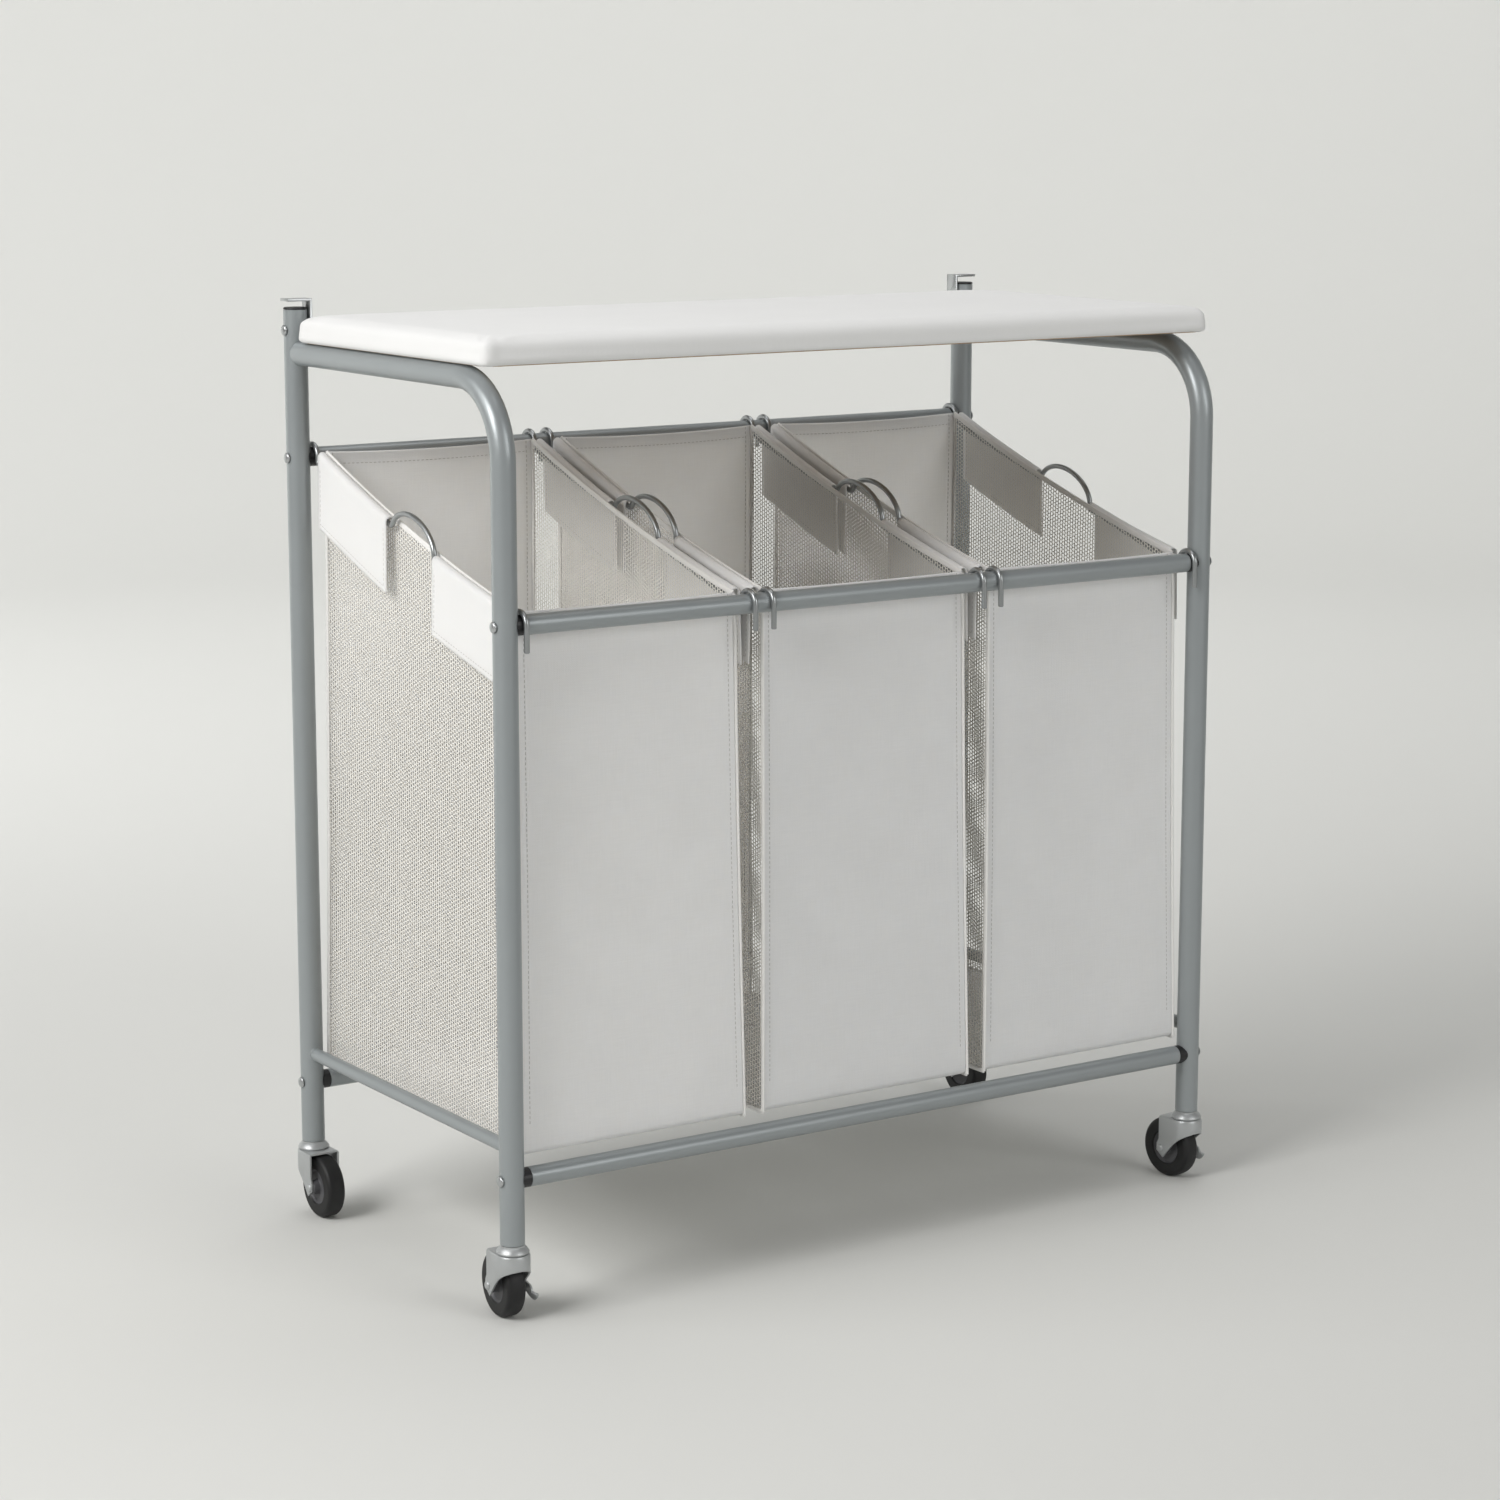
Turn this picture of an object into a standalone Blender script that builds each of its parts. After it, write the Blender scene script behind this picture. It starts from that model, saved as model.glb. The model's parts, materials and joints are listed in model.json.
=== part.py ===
"""Three-bag laundry sorter on casters, with a padded board that hinges up over the bags.

Metres, +Z up, +X to the right, +Y to the back. The origin is on the floor, under the middle of the frame.
"""

from math import atan2, cos, hypot, pi, radians, sin, tan

import bmesh
import bpy
from mathutils import Matrix, Vector

# Clearance between neighbouring pieces that touch or fit into one another
FIT = 0.0003

# Frame: centre distances of the four posts, tube sizes and heights above the floor
POST_SPAN_X = 0.770
POST_SPAN_Y = 0.386
POST_DIAMETER = 0.022
TUBE_WALL = 0.0012
TOP_TUBE_Z = 0.8287
TOP_BEND_RADIUS = 0.070
REAR_POST_TOP_Z = 0.869
SIDE_RAIL_DIAMETER = 0.0125
SIDE_RAIL_Z = 0.158
BAR_DIAMETER = 0.018
LOWER_BAR_Z = 0.130
UPPER_FRONT_BAR_Z = 0.620
UPPER_REAR_BAR_Z = 0.7315

# Fasteners and plastic plugs
BOLT_DIAMETER = 0.006
BOLT_HEAD_DIAMETER = 0.010
BOLT_HEAD_HEIGHT = 0.0026
BOLT_REACH = 0.042
SPACER_LENGTH = 0.005
SPACER_PLUG_LENGTH = 0.012
POST_CAP_HEIGHT = 0.002
POST_CAP_PLUG_LENGTH = 0.012

# Board and its hinges
HINGE_AXIS_Z = 0.850
BOARD_OVERHANG = 0.014
BOARD_FRONT_SETBACK = 0.006
BOARD_SWING_GAP = 0.0008
BOARD_CORNER_RADIUS = 0.018
BOARD_THICKNESS = 0.0245
BOARD_TOP_ROUNDING = 0.009
BOARD_BASE_ROUNDING = 0.004
DECK_THICKNESS = 0.009
DECK_INSET = 0.005
BRACKET_SHEET = 0.0024
BRACKET_WIDTH = 0.016
BRACKET_SWING_GAP = 0.0029
BRACKET_ARM_LENGTH = 0.095
BRACKET_ARM_DEPTH = 0.0117
BRACKET_FOOT_WIDTH = 0.020
NUT_DIAMETER = 0.010
NUT_HEIGHT = 0.003

# Bags, and the wire rods that carry them
END_ROD_GAP = 0.001
ROD_PAIR_GAP = 0.0195
ROD_DIAMETER = 0.005
ROD_BELOW_RIM = 0.0125
FRONT_HOOK_DROP = 0.023
REAR_HOOK_DROP = 0.020
ROD_CORNER_RADIUS = 0.0034
HANDLE_RISE = 0.024
HANDLE_FOOT_RADIUS = 0.006
HANDLE_FOOT_GAP = 0.004
BAG_TO_ROD = 0.0055
BAG_TO_HOOK = 0.0022
BAG_BASE_GAP = 0.0205
BAG_BASE_SETBACK = 0.006
BAG_FLOOR_GAP = 0.008
BAG_WALL = 0.0024
RIM_OVER_FRONT_BAR = 0.009
RIM_OVER_REAR_BAR = 0.0055
FLAP_DEPTH = 0.068
FLAP_SHEET = 0.0012
FLAP_FOLD_RISE = 0.0006
FLAP_END_SETBACK = 0.004
REAR_FLAP_FRONT_Y = 0.040
FRONT_FLAP_REAR_Y = -0.046

# Casters
WHEEL_DIAMETER = 0.060
WHEEL_WIDTH = 0.018
WHEEL_SHOULDER = 0.004
WHEEL_RECESS = 0.0025
WHEEL_RECESS_DIAMETER = 0.034
HUB_DIAMETER = 0.013
AXLE_DIAMETER = 0.006
AXLE_HEAD_DIAMETER = 0.0085
AXLE_HEAD_HEIGHT = 0.0018
CASTER_TRAIL = 0.0198
FORK_SHEET = 0.0018
FORK_WIDTH = 0.0312
FORK_HEADROOM = 0.0017
FORK_SHOULDER = 0.0024
FORK_HEEL = 0.0022
FORK_EYE_RADIUS = 0.0048
FORK_TIP_DROP = 0.0088
FORK_TIP_SETBACK = 0.0034
FORK_BROW_DEPTH = 0.0135
FORK_EDGE_BULGE = 0.0038
COLLAR_DIAMETER = 0.030
COLLAR_HEIGHT = 0.0062
COLLAR_NECK = 0.0015
STEM_LENGTH = 0.040
KINGPIN_DIAMETER = 0.008
KINGPIN_HEAD_DIAMETER = 0.012
KINGPIN_HEAD_HEIGHT = 0.0018
PEDAL_SHEET = 0.0016
PEDAL_REACH = 0.024
PEDAL_TAB_WIDTH = 0.016
PEDAL_TAB_LENGTH = 0.0105
PEDAL_TAB_DROP = 0.0135
FRONT_LEFT_TURN = radians(-4.5)
FRONT_RIGHT_TURN = radians(6)

# Facets round a circle
POST_SIDES = 24
BAR_SIDES = 20
WIRE_SIDES = 8
BOLT_SIDES = 12
WHEEL_SIDES = 28

# Sizes that follow from the ones above: casters and frame
POST_X = POST_SPAN_X / 2
POST_Y = POST_SPAN_Y / 2
POST_RADIUS = POST_DIAMETER / 2
BAR_RADIUS = BAR_DIAMETER / 2
BOLT_HOLE_RADIUS = BOLT_DIAMETER / 2 + FIT
BAR_END_X = POST_X - POST_RADIUS - SPACER_LENGTH
WHEEL_RADIUS = WHEEL_DIAMETER / 2
FORK_INNER_X = FORK_WIDTH / 2 - FORK_SHEET
FORK_TOP_Z = WHEEL_DIAMETER + FORK_HEADROOM + FORK_SHEET
COLLAR_BASE_Z = FORK_TOP_Z + FIT
POST_FOOT_Z = COLLAR_BASE_Z + COLLAR_HEIGHT + COLLAR_NECK
PEDAL_INNER_X = FORK_WIDTH / 2 + FIT

# Board and hinges: both clear the top corner of the post as they swing round it
POST_CORNER_REACH = hypot(POST_RADIUS, REAR_POST_TOP_Z + POST_CAP_HEIGHT - HINGE_AXIS_Z)
BOARD_WIDTH = POST_SPAN_X + 2 * BOARD_OVERHANG
BOARD_BASE_Z = TOP_TUBE_Z + POST_RADIUS + FIT
BOARD_FRONT_Y = -POST_Y + BOARD_FRONT_SETBACK
BOARD_REAR_Y = POST_Y - POST_CORNER_REACH - BOARD_SWING_GAP
BRACKET_OUTER_X = POST_X - POST_RADIUS - FIT
BRACKET_INNER_X = BRACKET_OUTER_X - BRACKET_SHEET
BRACKET_TOP = POST_CORNER_REACH + BRACKET_SWING_GAP + BRACKET_SHEET

# Rods and bags: three bags side by side fill the space between the posts
ROD_RADIUS = ROD_DIAMETER / 2
HOOK_RADIUS = BAR_RADIUS + FIT + ROD_RADIUS
END_ROD_X = POST_X - POST_RADIUS - END_ROD_GAP - ROD_RADIUS
BAG_PITCH = (2 * END_ROD_X + ROD_PAIR_GAP) / 3
ROD_SPAN = BAG_PITCH - ROD_PAIR_GAP
BAG_TOP_WIDTH = ROD_SPAN - 2 * BAG_TO_ROD
BAG_BOTTOM_WIDTH = BAG_PITCH - BAG_BASE_GAP
BAG_TOP_DEPTH = POST_SPAN_Y - 2 * (HOOK_RADIUS + ROD_RADIUS + BAG_TO_HOOK)
BAG_BOTTOM_DEPTH = POST_SPAN_Y - 2 * BAG_BASE_SETBACK
BAG_BOTTOM_Z = LOWER_BAR_Z + BAR_RADIUS + BAG_FLOOR_GAP
RIM_FRONT_Z = UPPER_FRONT_BAR_Z + RIM_OVER_FRONT_BAR
RIM_REAR_Z = UPPER_REAR_BAR_Z + RIM_OVER_REAR_BAR
RIM_SLOPE = (RIM_REAR_Z - RIM_FRONT_Z) / BAG_TOP_DEPTH


def clear_scene():
    for thing in list(bpy.data.objects):
        bpy.data.objects.remove(thing)


def make_material(name, colour, roughness, metallic):
    """A Principled material with one colour, roughness and metallic value."""
    material = bpy.data.materials.new(name)
    material.use_nodes = True
    shader = material.node_tree.nodes["Principled BSDF"]
    shader.inputs["Base Color"].default_value = (*colour, 1.0)
    shader.inputs["Roughness"].default_value = roughness
    shader.inputs["Metallic"].default_value = metallic
    return material


def finish_mesh(work, name, smooth=True):
    """Closes a bmesh: merges its doubles, turns its faces outwards and shades it by angle."""
    bmesh.ops.remove_doubles(work, verts=work.verts, dist=1e-6)
    bmesh.ops.recalc_face_normals(work, faces=work.faces)
    mesh = bpy.data.meshes.new(name)
    work.to_mesh(mesh)
    work.free()
    if smooth:
        mesh.shade_smooth()
        mesh.set_sharp_from_angle(angle=radians(40))
    return mesh


def add_piece(name, mesh, material, place=(0, 0, 0), turn=0.0, parent=None):
    """Puts one named piece in the scene, turned about Z; place is under its parent if it has one."""
    piece = bpy.data.objects.new(name, mesh)
    bpy.context.scene.collection.objects.link(piece)
    piece.location = place
    piece.rotation_euler = (0, 0, turn)
    piece.parent = parent
    if not mesh.materials:
        mesh.materials.append(material)
    return piece


def combine(piece, mesh, operation):
    """Adds a Boolean modifier that cuts the mesh from a piece, or unites it with the piece."""
    tool = bpy.data.objects.new(f"{piece.name}_{operation.lower()}_tool", mesh)
    bpy.context.scene.collection.objects.link(tool)
    tool.parent = piece
    tool.hide_render = True
    tool.display_type = "WIRE"
    step = piece.modifiers.new(operation.title(), "BOOLEAN")
    step.operation = operation
    step.solver = "EXACT"
    step.object = tool


def rounded_path(corners, radii, steps):
    """The corners joined by straight runs, each inner corner replaced by an arc of its radius.

    An arc starts and ends where its circle touches the two runs; radius 0 keeps the corner.
    """
    corners = [Vector(c) for c in corners]
    path = [corners[0]]
    for before, corner, after, radius in zip(corners, corners[1:], corners[2:], radii):
        back = (before - corner).normalized()
        ahead = (after - corner).normalized()
        if radius == 0:
            path.append(corner)
            continue
        half_turn = (pi - back.angle(ahead)) / 2
        centre = corner + (back + ahead).normalized() * radius / cos(half_turn)
        start = corner + back * radius * tan(half_turn) - centre
        end = corner + ahead * radius * tan(half_turn) - centre
        for k in range(steps + 1):
            share = k / steps
            spread = sin(2 * half_turn)
            mixed = start * sin((1 - share) * 2 * half_turn) + end * sin(share * 2 * half_turn)
            path.append(centre + mixed / spread if spread > 1e-6 else corner)
    path.append(corners[-1])
    return path


def swept_mesh(name, path, side, radius, sides, wall=0.0):
    """A round bar, or a tube with a wall, along a path that lies in one plane.

    side is the direction square to that plane. Each ring lies in the plane that halves its corner.
    """
    path = [Vector(p) for p in path]
    side = Vector(side).normalized()
    work = bmesh.new()

    def rings(ring_radius):
        made = []
        for k, point in enumerate(path):
            ways = [b - a for a, b in ((path[k - 1], point),) if k > 0]
            ways += [path[k + 1] - point] if k + 1 < len(path) else []
            ways = [w.normalized() for w in ways]
            along = sum(ways, Vector()).normalized()
            stretch = 1 / max(along.dot(ways[0]), 0.3)
            across = along.cross(side) * stretch
            made.append(
                [
                    work.verts.new(
                        point + ring_radius * (cos(a) * side + sin(a) * across)
                    )
                    for a in (2 * pi * (j + 0.5) / sides for j in range(sides))
                ]
            )
        return made

    def skin(one, other):
        for j in range(sides):
            i = (j + 1) % sides
            work.faces.new((one[j], one[i], other[i], other[j]))

    outer = rings(radius)
    for one, other in zip(outer, outer[1:]):
        skin(one, other)
    if wall:
        inner = rings(radius - wall)
        for one, other in zip(inner, inner[1:]):
            skin(one, other)
        skin(outer[0], inner[0])
        skin(outer[-1], inner[-1])
    else:
        work.faces.new(outer[0])
        work.faces.new(outer[-1])
    return finish_mesh(work, name)


def turned_mesh(name, profile, sides, axis="Z"):
    """A turned piece: profile is (radius, height) points, spun round the axis from its origin."""
    work = bmesh.new()
    points = [work.verts.new((radius, 0, height)) for radius, height in profile]
    for one, other in zip(points, points[1:]):
        work.edges.new((one, other))
    bmesh.ops.spin(
        work,
        geom=work.verts[:] + work.edges[:],
        cent=(0, 0, 0),
        axis=(0, 0, 1),
        angle=2 * pi,
        steps=sides,
    )
    bmesh.ops.rotate(work, verts=work.verts, matrix=Matrix.Rotation(pi / sides, 3, "Z"))
    if axis == "X":
        bmesh.ops.rotate(work, verts=work.verts, matrix=Matrix.Rotation(pi / 2, 3, "Y"))
    return finish_mesh(work, name)


def cylinder_mesh(name, start, end, radius, sides, side):
    """A plain round bar from start to end."""
    return swept_mesh(name, [start, end], side, radius, sides)


def prism_mesh(name, outline, shift, smooth=False):
    """A flat outline of 3-D points, extruded by the vector shift."""
    work = bmesh.new()
    face = work.faces.new([work.verts.new(p) for p in outline])
    made = bmesh.ops.extrude_face_region(work, geom=[face], use_keep_orig=True)
    moved = [v for v in made["geom"] if isinstance(v, bmesh.types.BMVert)]
    bmesh.ops.translate(work, verts=moved, vec=shift)
    return finish_mesh(work, name, smooth)


def box_mesh(name, low, high):
    """A box between two corners."""
    outline = [
        (low[0], low[1], low[2]),
        (high[0], low[1], low[2]),
        (high[0], high[1], low[2]),
        (low[0], high[1], low[2]),
    ]
    return prism_mesh(name, outline, (0, 0, high[2] - low[2]))


def rounded_rectangle(low, high, radius, z, steps=4):
    """A rectangle's outline at height z, with round corners, as points in order."""
    points = []
    for k, (x, y) in enumerate(((1, 1), (0, 1), (0, 0), (1, 0))):
        centre_x = high[0] - radius if x else low[0] + radius
        centre_y = high[1] - radius if y else low[1] + radius
        for j in range(steps + 1):
            angle = pi / 2 * (k + j / steps)
            points.append((centre_x + radius * cos(angle), centre_y + radius * sin(angle), z))
    return points


def slab_mesh(name, low, high, radius, base_z, top_z, top_rounding, base_rounding):
    """A flat slab with round corners in plan and rounded upper and lower edges."""
    work = bmesh.new()
    outline = rounded_rectangle(low, high, radius, base_z)
    face = work.faces.new([work.verts.new(p) for p in outline])
    made = bmesh.ops.extrude_face_region(work, geom=[face], use_keep_orig=True)
    moved = [v for v in made["geom"] if isinstance(v, bmesh.types.BMVert)]
    bmesh.ops.translate(work, verts=moved, vec=(0, 0, top_z - base_z))
    for height, rounding, segments in ((top_z, top_rounding, 3), (base_z, base_rounding, 2)):
        if rounding:
            edge = [e for e in work.edges if all(abs(v.co.z - height) < 1e-6 for v in e.verts)]
            bmesh.ops.bevel(
                work,
                geom=edge,
                offset=rounding,
                segments=segments,
                profile=0.5,
                affect="EDGES",
                clamp_overlap=True,
            )
    return finish_mesh(work, name)


def rim_height(y):
    """Height of a bag's sloping rim at depth y."""
    return RIM_FRONT_Z + RIM_SLOPE * (y + BAG_TOP_DEPTH / 2)


def cope(piece, x, y, low_z, high_z):
    """Cuts a piece to the round of an upright post, with the fit clearance."""
    tool = cylinder_mesh(
        "cope", (x, y, low_z), (x, y, high_z), POST_RADIUS + FIT, POST_SIDES, (1, 0, 0)
    )
    combine(piece, tool, "DIFFERENCE")


def drill_across(piece, x, y, z):
    """Drills a bolt hole through a post along X."""
    reach = POST_DIAMETER
    tool = cylinder_mesh(
        "drill", (x - reach, y, z), (x + reach, y, z), BOLT_HOLE_RADIUS, BOLT_SIDES, (0, 1, 0)
    )
    combine(piece, tool, "DIFFERENCE")


def make_side_frame(side_name, sign, paint):
    """The bent front tube, the straight rear post and the lower rail of one side."""
    x = sign * POST_X
    corners = [
        (x, -POST_Y, POST_FOOT_Z),
        (x, -POST_Y, TOP_TUBE_Z),
        (x, POST_Y, TOP_TUBE_Z),
    ]
    path = rounded_path(corners, [TOP_BEND_RADIUS], 8)
    mesh = swept_mesh("front_tube", path, (1, 0, 0), POST_RADIUS, POST_SIDES, TUBE_WALL)
    front = add_piece(f"{side_name}_front_tube", mesh, paint)
    cope(front, x, POST_Y, TOP_TUBE_Z - POST_DIAMETER, TOP_TUBE_Z + POST_DIAMETER)
    for z in (LOWER_BAR_Z, UPPER_FRONT_BAR_Z):
        drill_across(front, x, -POST_Y, z)

    upright = [(x, POST_Y, POST_FOOT_Z), (x, POST_Y, REAR_POST_TOP_Z)]
    mesh = swept_mesh("rear_post", upright, (1, 0, 0), POST_RADIUS, POST_SIDES, TUBE_WALL)
    rear = add_piece(f"{side_name}_rear_post", mesh, paint)
    for z in (LOWER_BAR_Z, UPPER_REAR_BAR_Z, HINGE_AXIS_Z):
        drill_across(rear, x, POST_Y, z)

    run = [(x, -POST_Y, SIDE_RAIL_Z), (x, POST_Y, SIDE_RAIL_Z)]
    mesh = swept_mesh("side_rail", run, (1, 0, 0), SIDE_RAIL_DIAMETER / 2, BAR_SIDES, TUBE_WALL)
    rail = add_piece(f"{side_name}_side_rail", mesh, paint)
    for y in (-POST_Y, POST_Y):
        cope(rail, x, y, SIDE_RAIL_Z - POST_DIAMETER, SIDE_RAIL_Z + POST_DIAMETER)


def make_rear_post_cap(side_name, sign, plastic):
    """The plug that closes the top of a rear post."""
    profile = [
        (0, -POST_CAP_PLUG_LENGTH),
        (POST_RADIUS - TUBE_WALL - FIT, -POST_CAP_PLUG_LENGTH),
        (POST_RADIUS - TUBE_WALL - FIT, FIT),
        (POST_RADIUS, FIT),
        (POST_RADIUS, POST_CAP_HEIGHT / 2),
        (POST_RADIUS - POST_CAP_HEIGHT / 2, POST_CAP_HEIGHT),
        (0, POST_CAP_HEIGHT),
    ]
    mesh = turned_mesh("post_cap", profile, POST_SIDES)
    place = (sign * POST_X, POST_Y, REAR_POST_TOP_Z)
    add_piece(f"{side_name}_rear_post_cap", mesh, plastic, place)


def make_cross_bar(name, y, z, paint, plastic, steel):
    """One cross bar between the side frames, with its two end spacers and two bolts."""
    run = [(-BAR_END_X + FIT, y, z), (BAR_END_X - FIT, y, z)]
    mesh = swept_mesh("cross_bar", run, (0, 1, 0), BAR_RADIUS, BAR_SIDES, TUBE_WALL)
    add_piece(f"{name}_bar", mesh, paint)
    plug_radius = BAR_RADIUS - TUBE_WALL - FIT
    spacer_profile = [
        (BOLT_HOLE_RADIUS, -SPACER_PLUG_LENGTH),
        (plug_radius, -SPACER_PLUG_LENGTH),
        (plug_radius, 0),
        (BAR_RADIUS, 0),
        (BAR_RADIUS, SPACER_LENGTH + POST_RADIUS),
        (BOLT_HOLE_RADIUS, SPACER_LENGTH + POST_RADIUS),
        (BOLT_HOLE_RADIUS, -SPACER_PLUG_LENGTH),
    ]
    shank = BOLT_DIAMETER / 2
    head = BOLT_HEAD_DIAMETER / 2
    bolt_profile = [
        (0, -BOLT_REACH),
        (shank, -BOLT_REACH),
        (shank, 0),
        (head, 0),
        (head, BOLT_HEAD_HEIGHT * 0.35),
        (head * 0.8, BOLT_HEAD_HEIGHT * 0.75),
        (head * 0.45, BOLT_HEAD_HEIGHT),
        (0, BOLT_HEAD_HEIGHT),
    ]
    for side_name, sign in (("left", -1), ("right", 1)):
        turn = 0 if sign > 0 else pi
        spacer = turned_mesh("bar_spacer", spacer_profile, BAR_SIDES, "X")
        place = (sign * BAR_END_X, y, z)
        piece = add_piece(f"{name}_{side_name}_spacer", spacer, plastic, place, turn)
        axis_x = POST_X - BAR_END_X
        cope(piece, axis_x, 0, -POST_DIAMETER, POST_DIAMETER)
        bolt = turned_mesh("bar_bolt", bolt_profile, BOLT_SIDES, "X")
        place = (sign * (POST_X + POST_RADIUS + FIT), y, z)
        add_piece(f"{name}_{side_name}_bolt", bolt, steel, place, turn)


def make_hinge(side_name, sign, pivot, steel):
    """One L-shaped board bracket, on the inner side of its rear post, and its pivot bolt with nut."""
    half = BRACKET_WIDTH / 2
    arm_top = BOARD_BASE_Z - HINGE_AXIS_Z - FIT
    arm_base = arm_top - BRACKET_ARM_DEPTH
    chamfer = half / 2
    outline = [
        (-BRACKET_ARM_LENGTH, arm_top),
        (-BRACKET_ARM_LENGTH, arm_base + chamfer),
        (-BRACKET_ARM_LENGTH + chamfer, arm_base),
        (half - chamfer, arm_base),
        (half, arm_base + chamfer),
        (half, BRACKET_TOP),
        (-half, BRACKET_TOP),
        (-half, arm_top),
    ]
    inner, outer = sign * BRACKET_INNER_X, sign * BRACKET_OUTER_X
    mesh = prism_mesh("bracket", [(inner, y, z) for y, z in outline], (outer - inner, 0, 0))
    bracket = add_piece(f"{side_name}_hinge_bracket", mesh, steel, parent=pivot)
    over = sorted((inner, sign * (POST_X + POST_RADIUS)))
    cap = box_mesh(
        "bracket_top",
        (over[0], -half, BRACKET_TOP - BRACKET_SHEET),
        (over[1], half, BRACKET_TOP),
    )
    combine(bracket, cap, "UNION")
    under = sorted((outer, sign * (BRACKET_INNER_X - BRACKET_FOOT_WIDTH)))
    foot = box_mesh(
        "bracket_foot",
        (under[0], -BRACKET_ARM_LENGTH, arm_top - BRACKET_SHEET),
        (under[1], BOARD_REAR_Y - POST_Y - half, arm_top),
    )
    combine(bracket, foot, "UNION")
    reach = BRACKET_SHEET
    hole = cylinder_mesh(
        "bracket_hole",
        (inner - sign * reach, 0, 0),
        (outer + sign * reach, 0, 0),
        BOLT_HOLE_RADIUS,
        BOLT_SIDES,
        (0, 1, 0),
    )
    combine(bracket, hole, "DIFFERENCE")

    shank = BOLT_DIAMETER / 2
    head = BOLT_HEAD_DIAMETER / 2
    nut_face = POST_X + POST_RADIUS + FIT - BRACKET_INNER_X + FIT
    profile = [
        (0, -nut_face - NUT_HEIGHT),
        (NUT_DIAMETER / 2, -nut_face - NUT_HEIGHT),
        (NUT_DIAMETER / 2, -nut_face),
        (shank, -nut_face),
        (shank, 0),
        (head, 0),
        (head, BOLT_HEAD_HEIGHT * 0.35),
        (head * 0.8, BOLT_HEAD_HEIGHT * 0.75),
        (head * 0.45, BOLT_HEAD_HEIGHT),
        (0, BOLT_HEAD_HEIGHT),
    ]
    mesh = turned_mesh("pivot_bolt", profile, BOLT_SIDES, "X")
    place = (sign * (POST_X + POST_RADIUS + FIT), POST_Y, HINGE_AXIS_Z)
    add_piece(f"{side_name}_pivot_bolt", mesh, steel, place, 0 if sign > 0 else pi)


def make_board(pivot, cotton, wood):
    """The deck and the padded cover that wraps its upper side and edges."""
    base = BOARD_BASE_Z - HINGE_AXIS_Z
    low = (-BOARD_WIDTH / 2, BOARD_FRONT_Y - POST_Y)
    high = (BOARD_WIDTH / 2, BOARD_REAR_Y - POST_Y)
    mesh = slab_mesh(
        "board_pad",
        low,
        high,
        BOARD_CORNER_RADIUS,
        base,
        base + BOARD_THICKNESS,
        BOARD_TOP_ROUNDING,
        BOARD_BASE_ROUNDING,
    )
    pad = add_piece("board_pad", mesh, cotton, parent=pivot)

    def deck_slab(name, grow, start, end):
        inset = DECK_INSET - grow
        return slab_mesh(
            name,
            (low[0] + inset, low[1] + inset),
            (high[0] - inset, high[1] - inset),
            BOARD_CORNER_RADIUS - inset,
            start,
            end,
            0,
            0,
        )

    recess = deck_slab("deck_recess", FIT, base - DECK_THICKNESS, base + DECK_THICKNESS + FIT)
    combine(pad, recess, "DIFFERENCE")
    add_piece("board_deck", deck_slab("board_deck", 0, base, base + DECK_THICKNESS), wood, parent=pivot)


def bag_half_width(z):
    """Half the bag's outer width at height z; its sides are flat and lean inwards."""
    middle = (RIM_FRONT_Z + RIM_REAR_Z) / 2
    share = (z - BAG_BOTTOM_Z) / (middle - BAG_BOTTOM_Z)
    return (BAG_BOTTOM_WIDTH + (BAG_TOP_WIDTH - BAG_BOTTOM_WIDTH) * share) / 2


def bag_shell_mesh():
    """An open bag, wider at the bottom, with a wall all round and a rim that slopes to the front."""
    work = bmesh.new()

    def ring(corners, inset):
        made = []
        for x_sign, y, z in corners:
            x = bag_half_width(z) - inset
            made.append(work.verts.new((x_sign * x, y, z)))
        return made

    def rim(inset):
        y = BAG_TOP_DEPTH / 2 - inset
        front, rear = rim_height(-y), rim_height(y)
        return ring([(-1, -y, front), (1, -y, front), (1, y, rear), (-1, y, rear)], inset)

    def base(z, inset):
        y = BAG_BOTTOM_DEPTH / 2 - inset
        return ring([(-1, -y, z), (1, -y, z), (1, y, z), (-1, y, z)], inset)

    outer_base = base(BAG_BOTTOM_Z, 0)
    outer_rim = rim(0)
    inner_rim = rim(BAG_WALL)
    inner_base = base(BAG_BOTTOM_Z + BAG_WALL, BAG_WALL)
    for one, other in ((outer_base, outer_rim), (outer_rim, inner_rim), (inner_rim, inner_base)):
        for j in range(4):
            i = (j + 1) % 4
            work.faces.new((one[j], one[i], other[i], other[j]))
    work.faces.new(outer_base)
    work.faces.new(inner_base)
    return finish_mesh(work, "bag", smooth=False)


def flap_mesh(sign, start_y, end_y):
    """A hanging flap: a fold over the rod and a sheet outside it, as a sheared prism along the rim."""
    inner = sign * (BAG_TOP_WIDTH / 2 - BAG_WALL / 2)
    sheet_inner = sign * (ROD_SPAN / 2 + ROD_RADIUS + FIT)
    sheet_outer = sign * (ROD_SPAN / 2 + ROD_RADIUS + FIT + FLAP_SHEET)
    fold = ROD_BELOW_RIM - ROD_RADIUS / cos(atan2(RIM_SLOPE, 1)) - FIT
    start_rim = rim_height(start_y)
    outline = [
        (inner, start_y, start_rim + FLAP_FOLD_RISE),
        (sheet_outer, start_y, start_rim + FLAP_FOLD_RISE),
        (sheet_outer, start_y, start_rim - FLAP_DEPTH),
        (sheet_inner, start_y, start_rim - FLAP_DEPTH),
        (sheet_inner, start_y, start_rim - fold),
        (inner, start_y, start_rim - fold),
    ]
    return prism_mesh("flap", outline, (0, end_y - start_y, rim_height(end_y) - start_rim))


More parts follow.
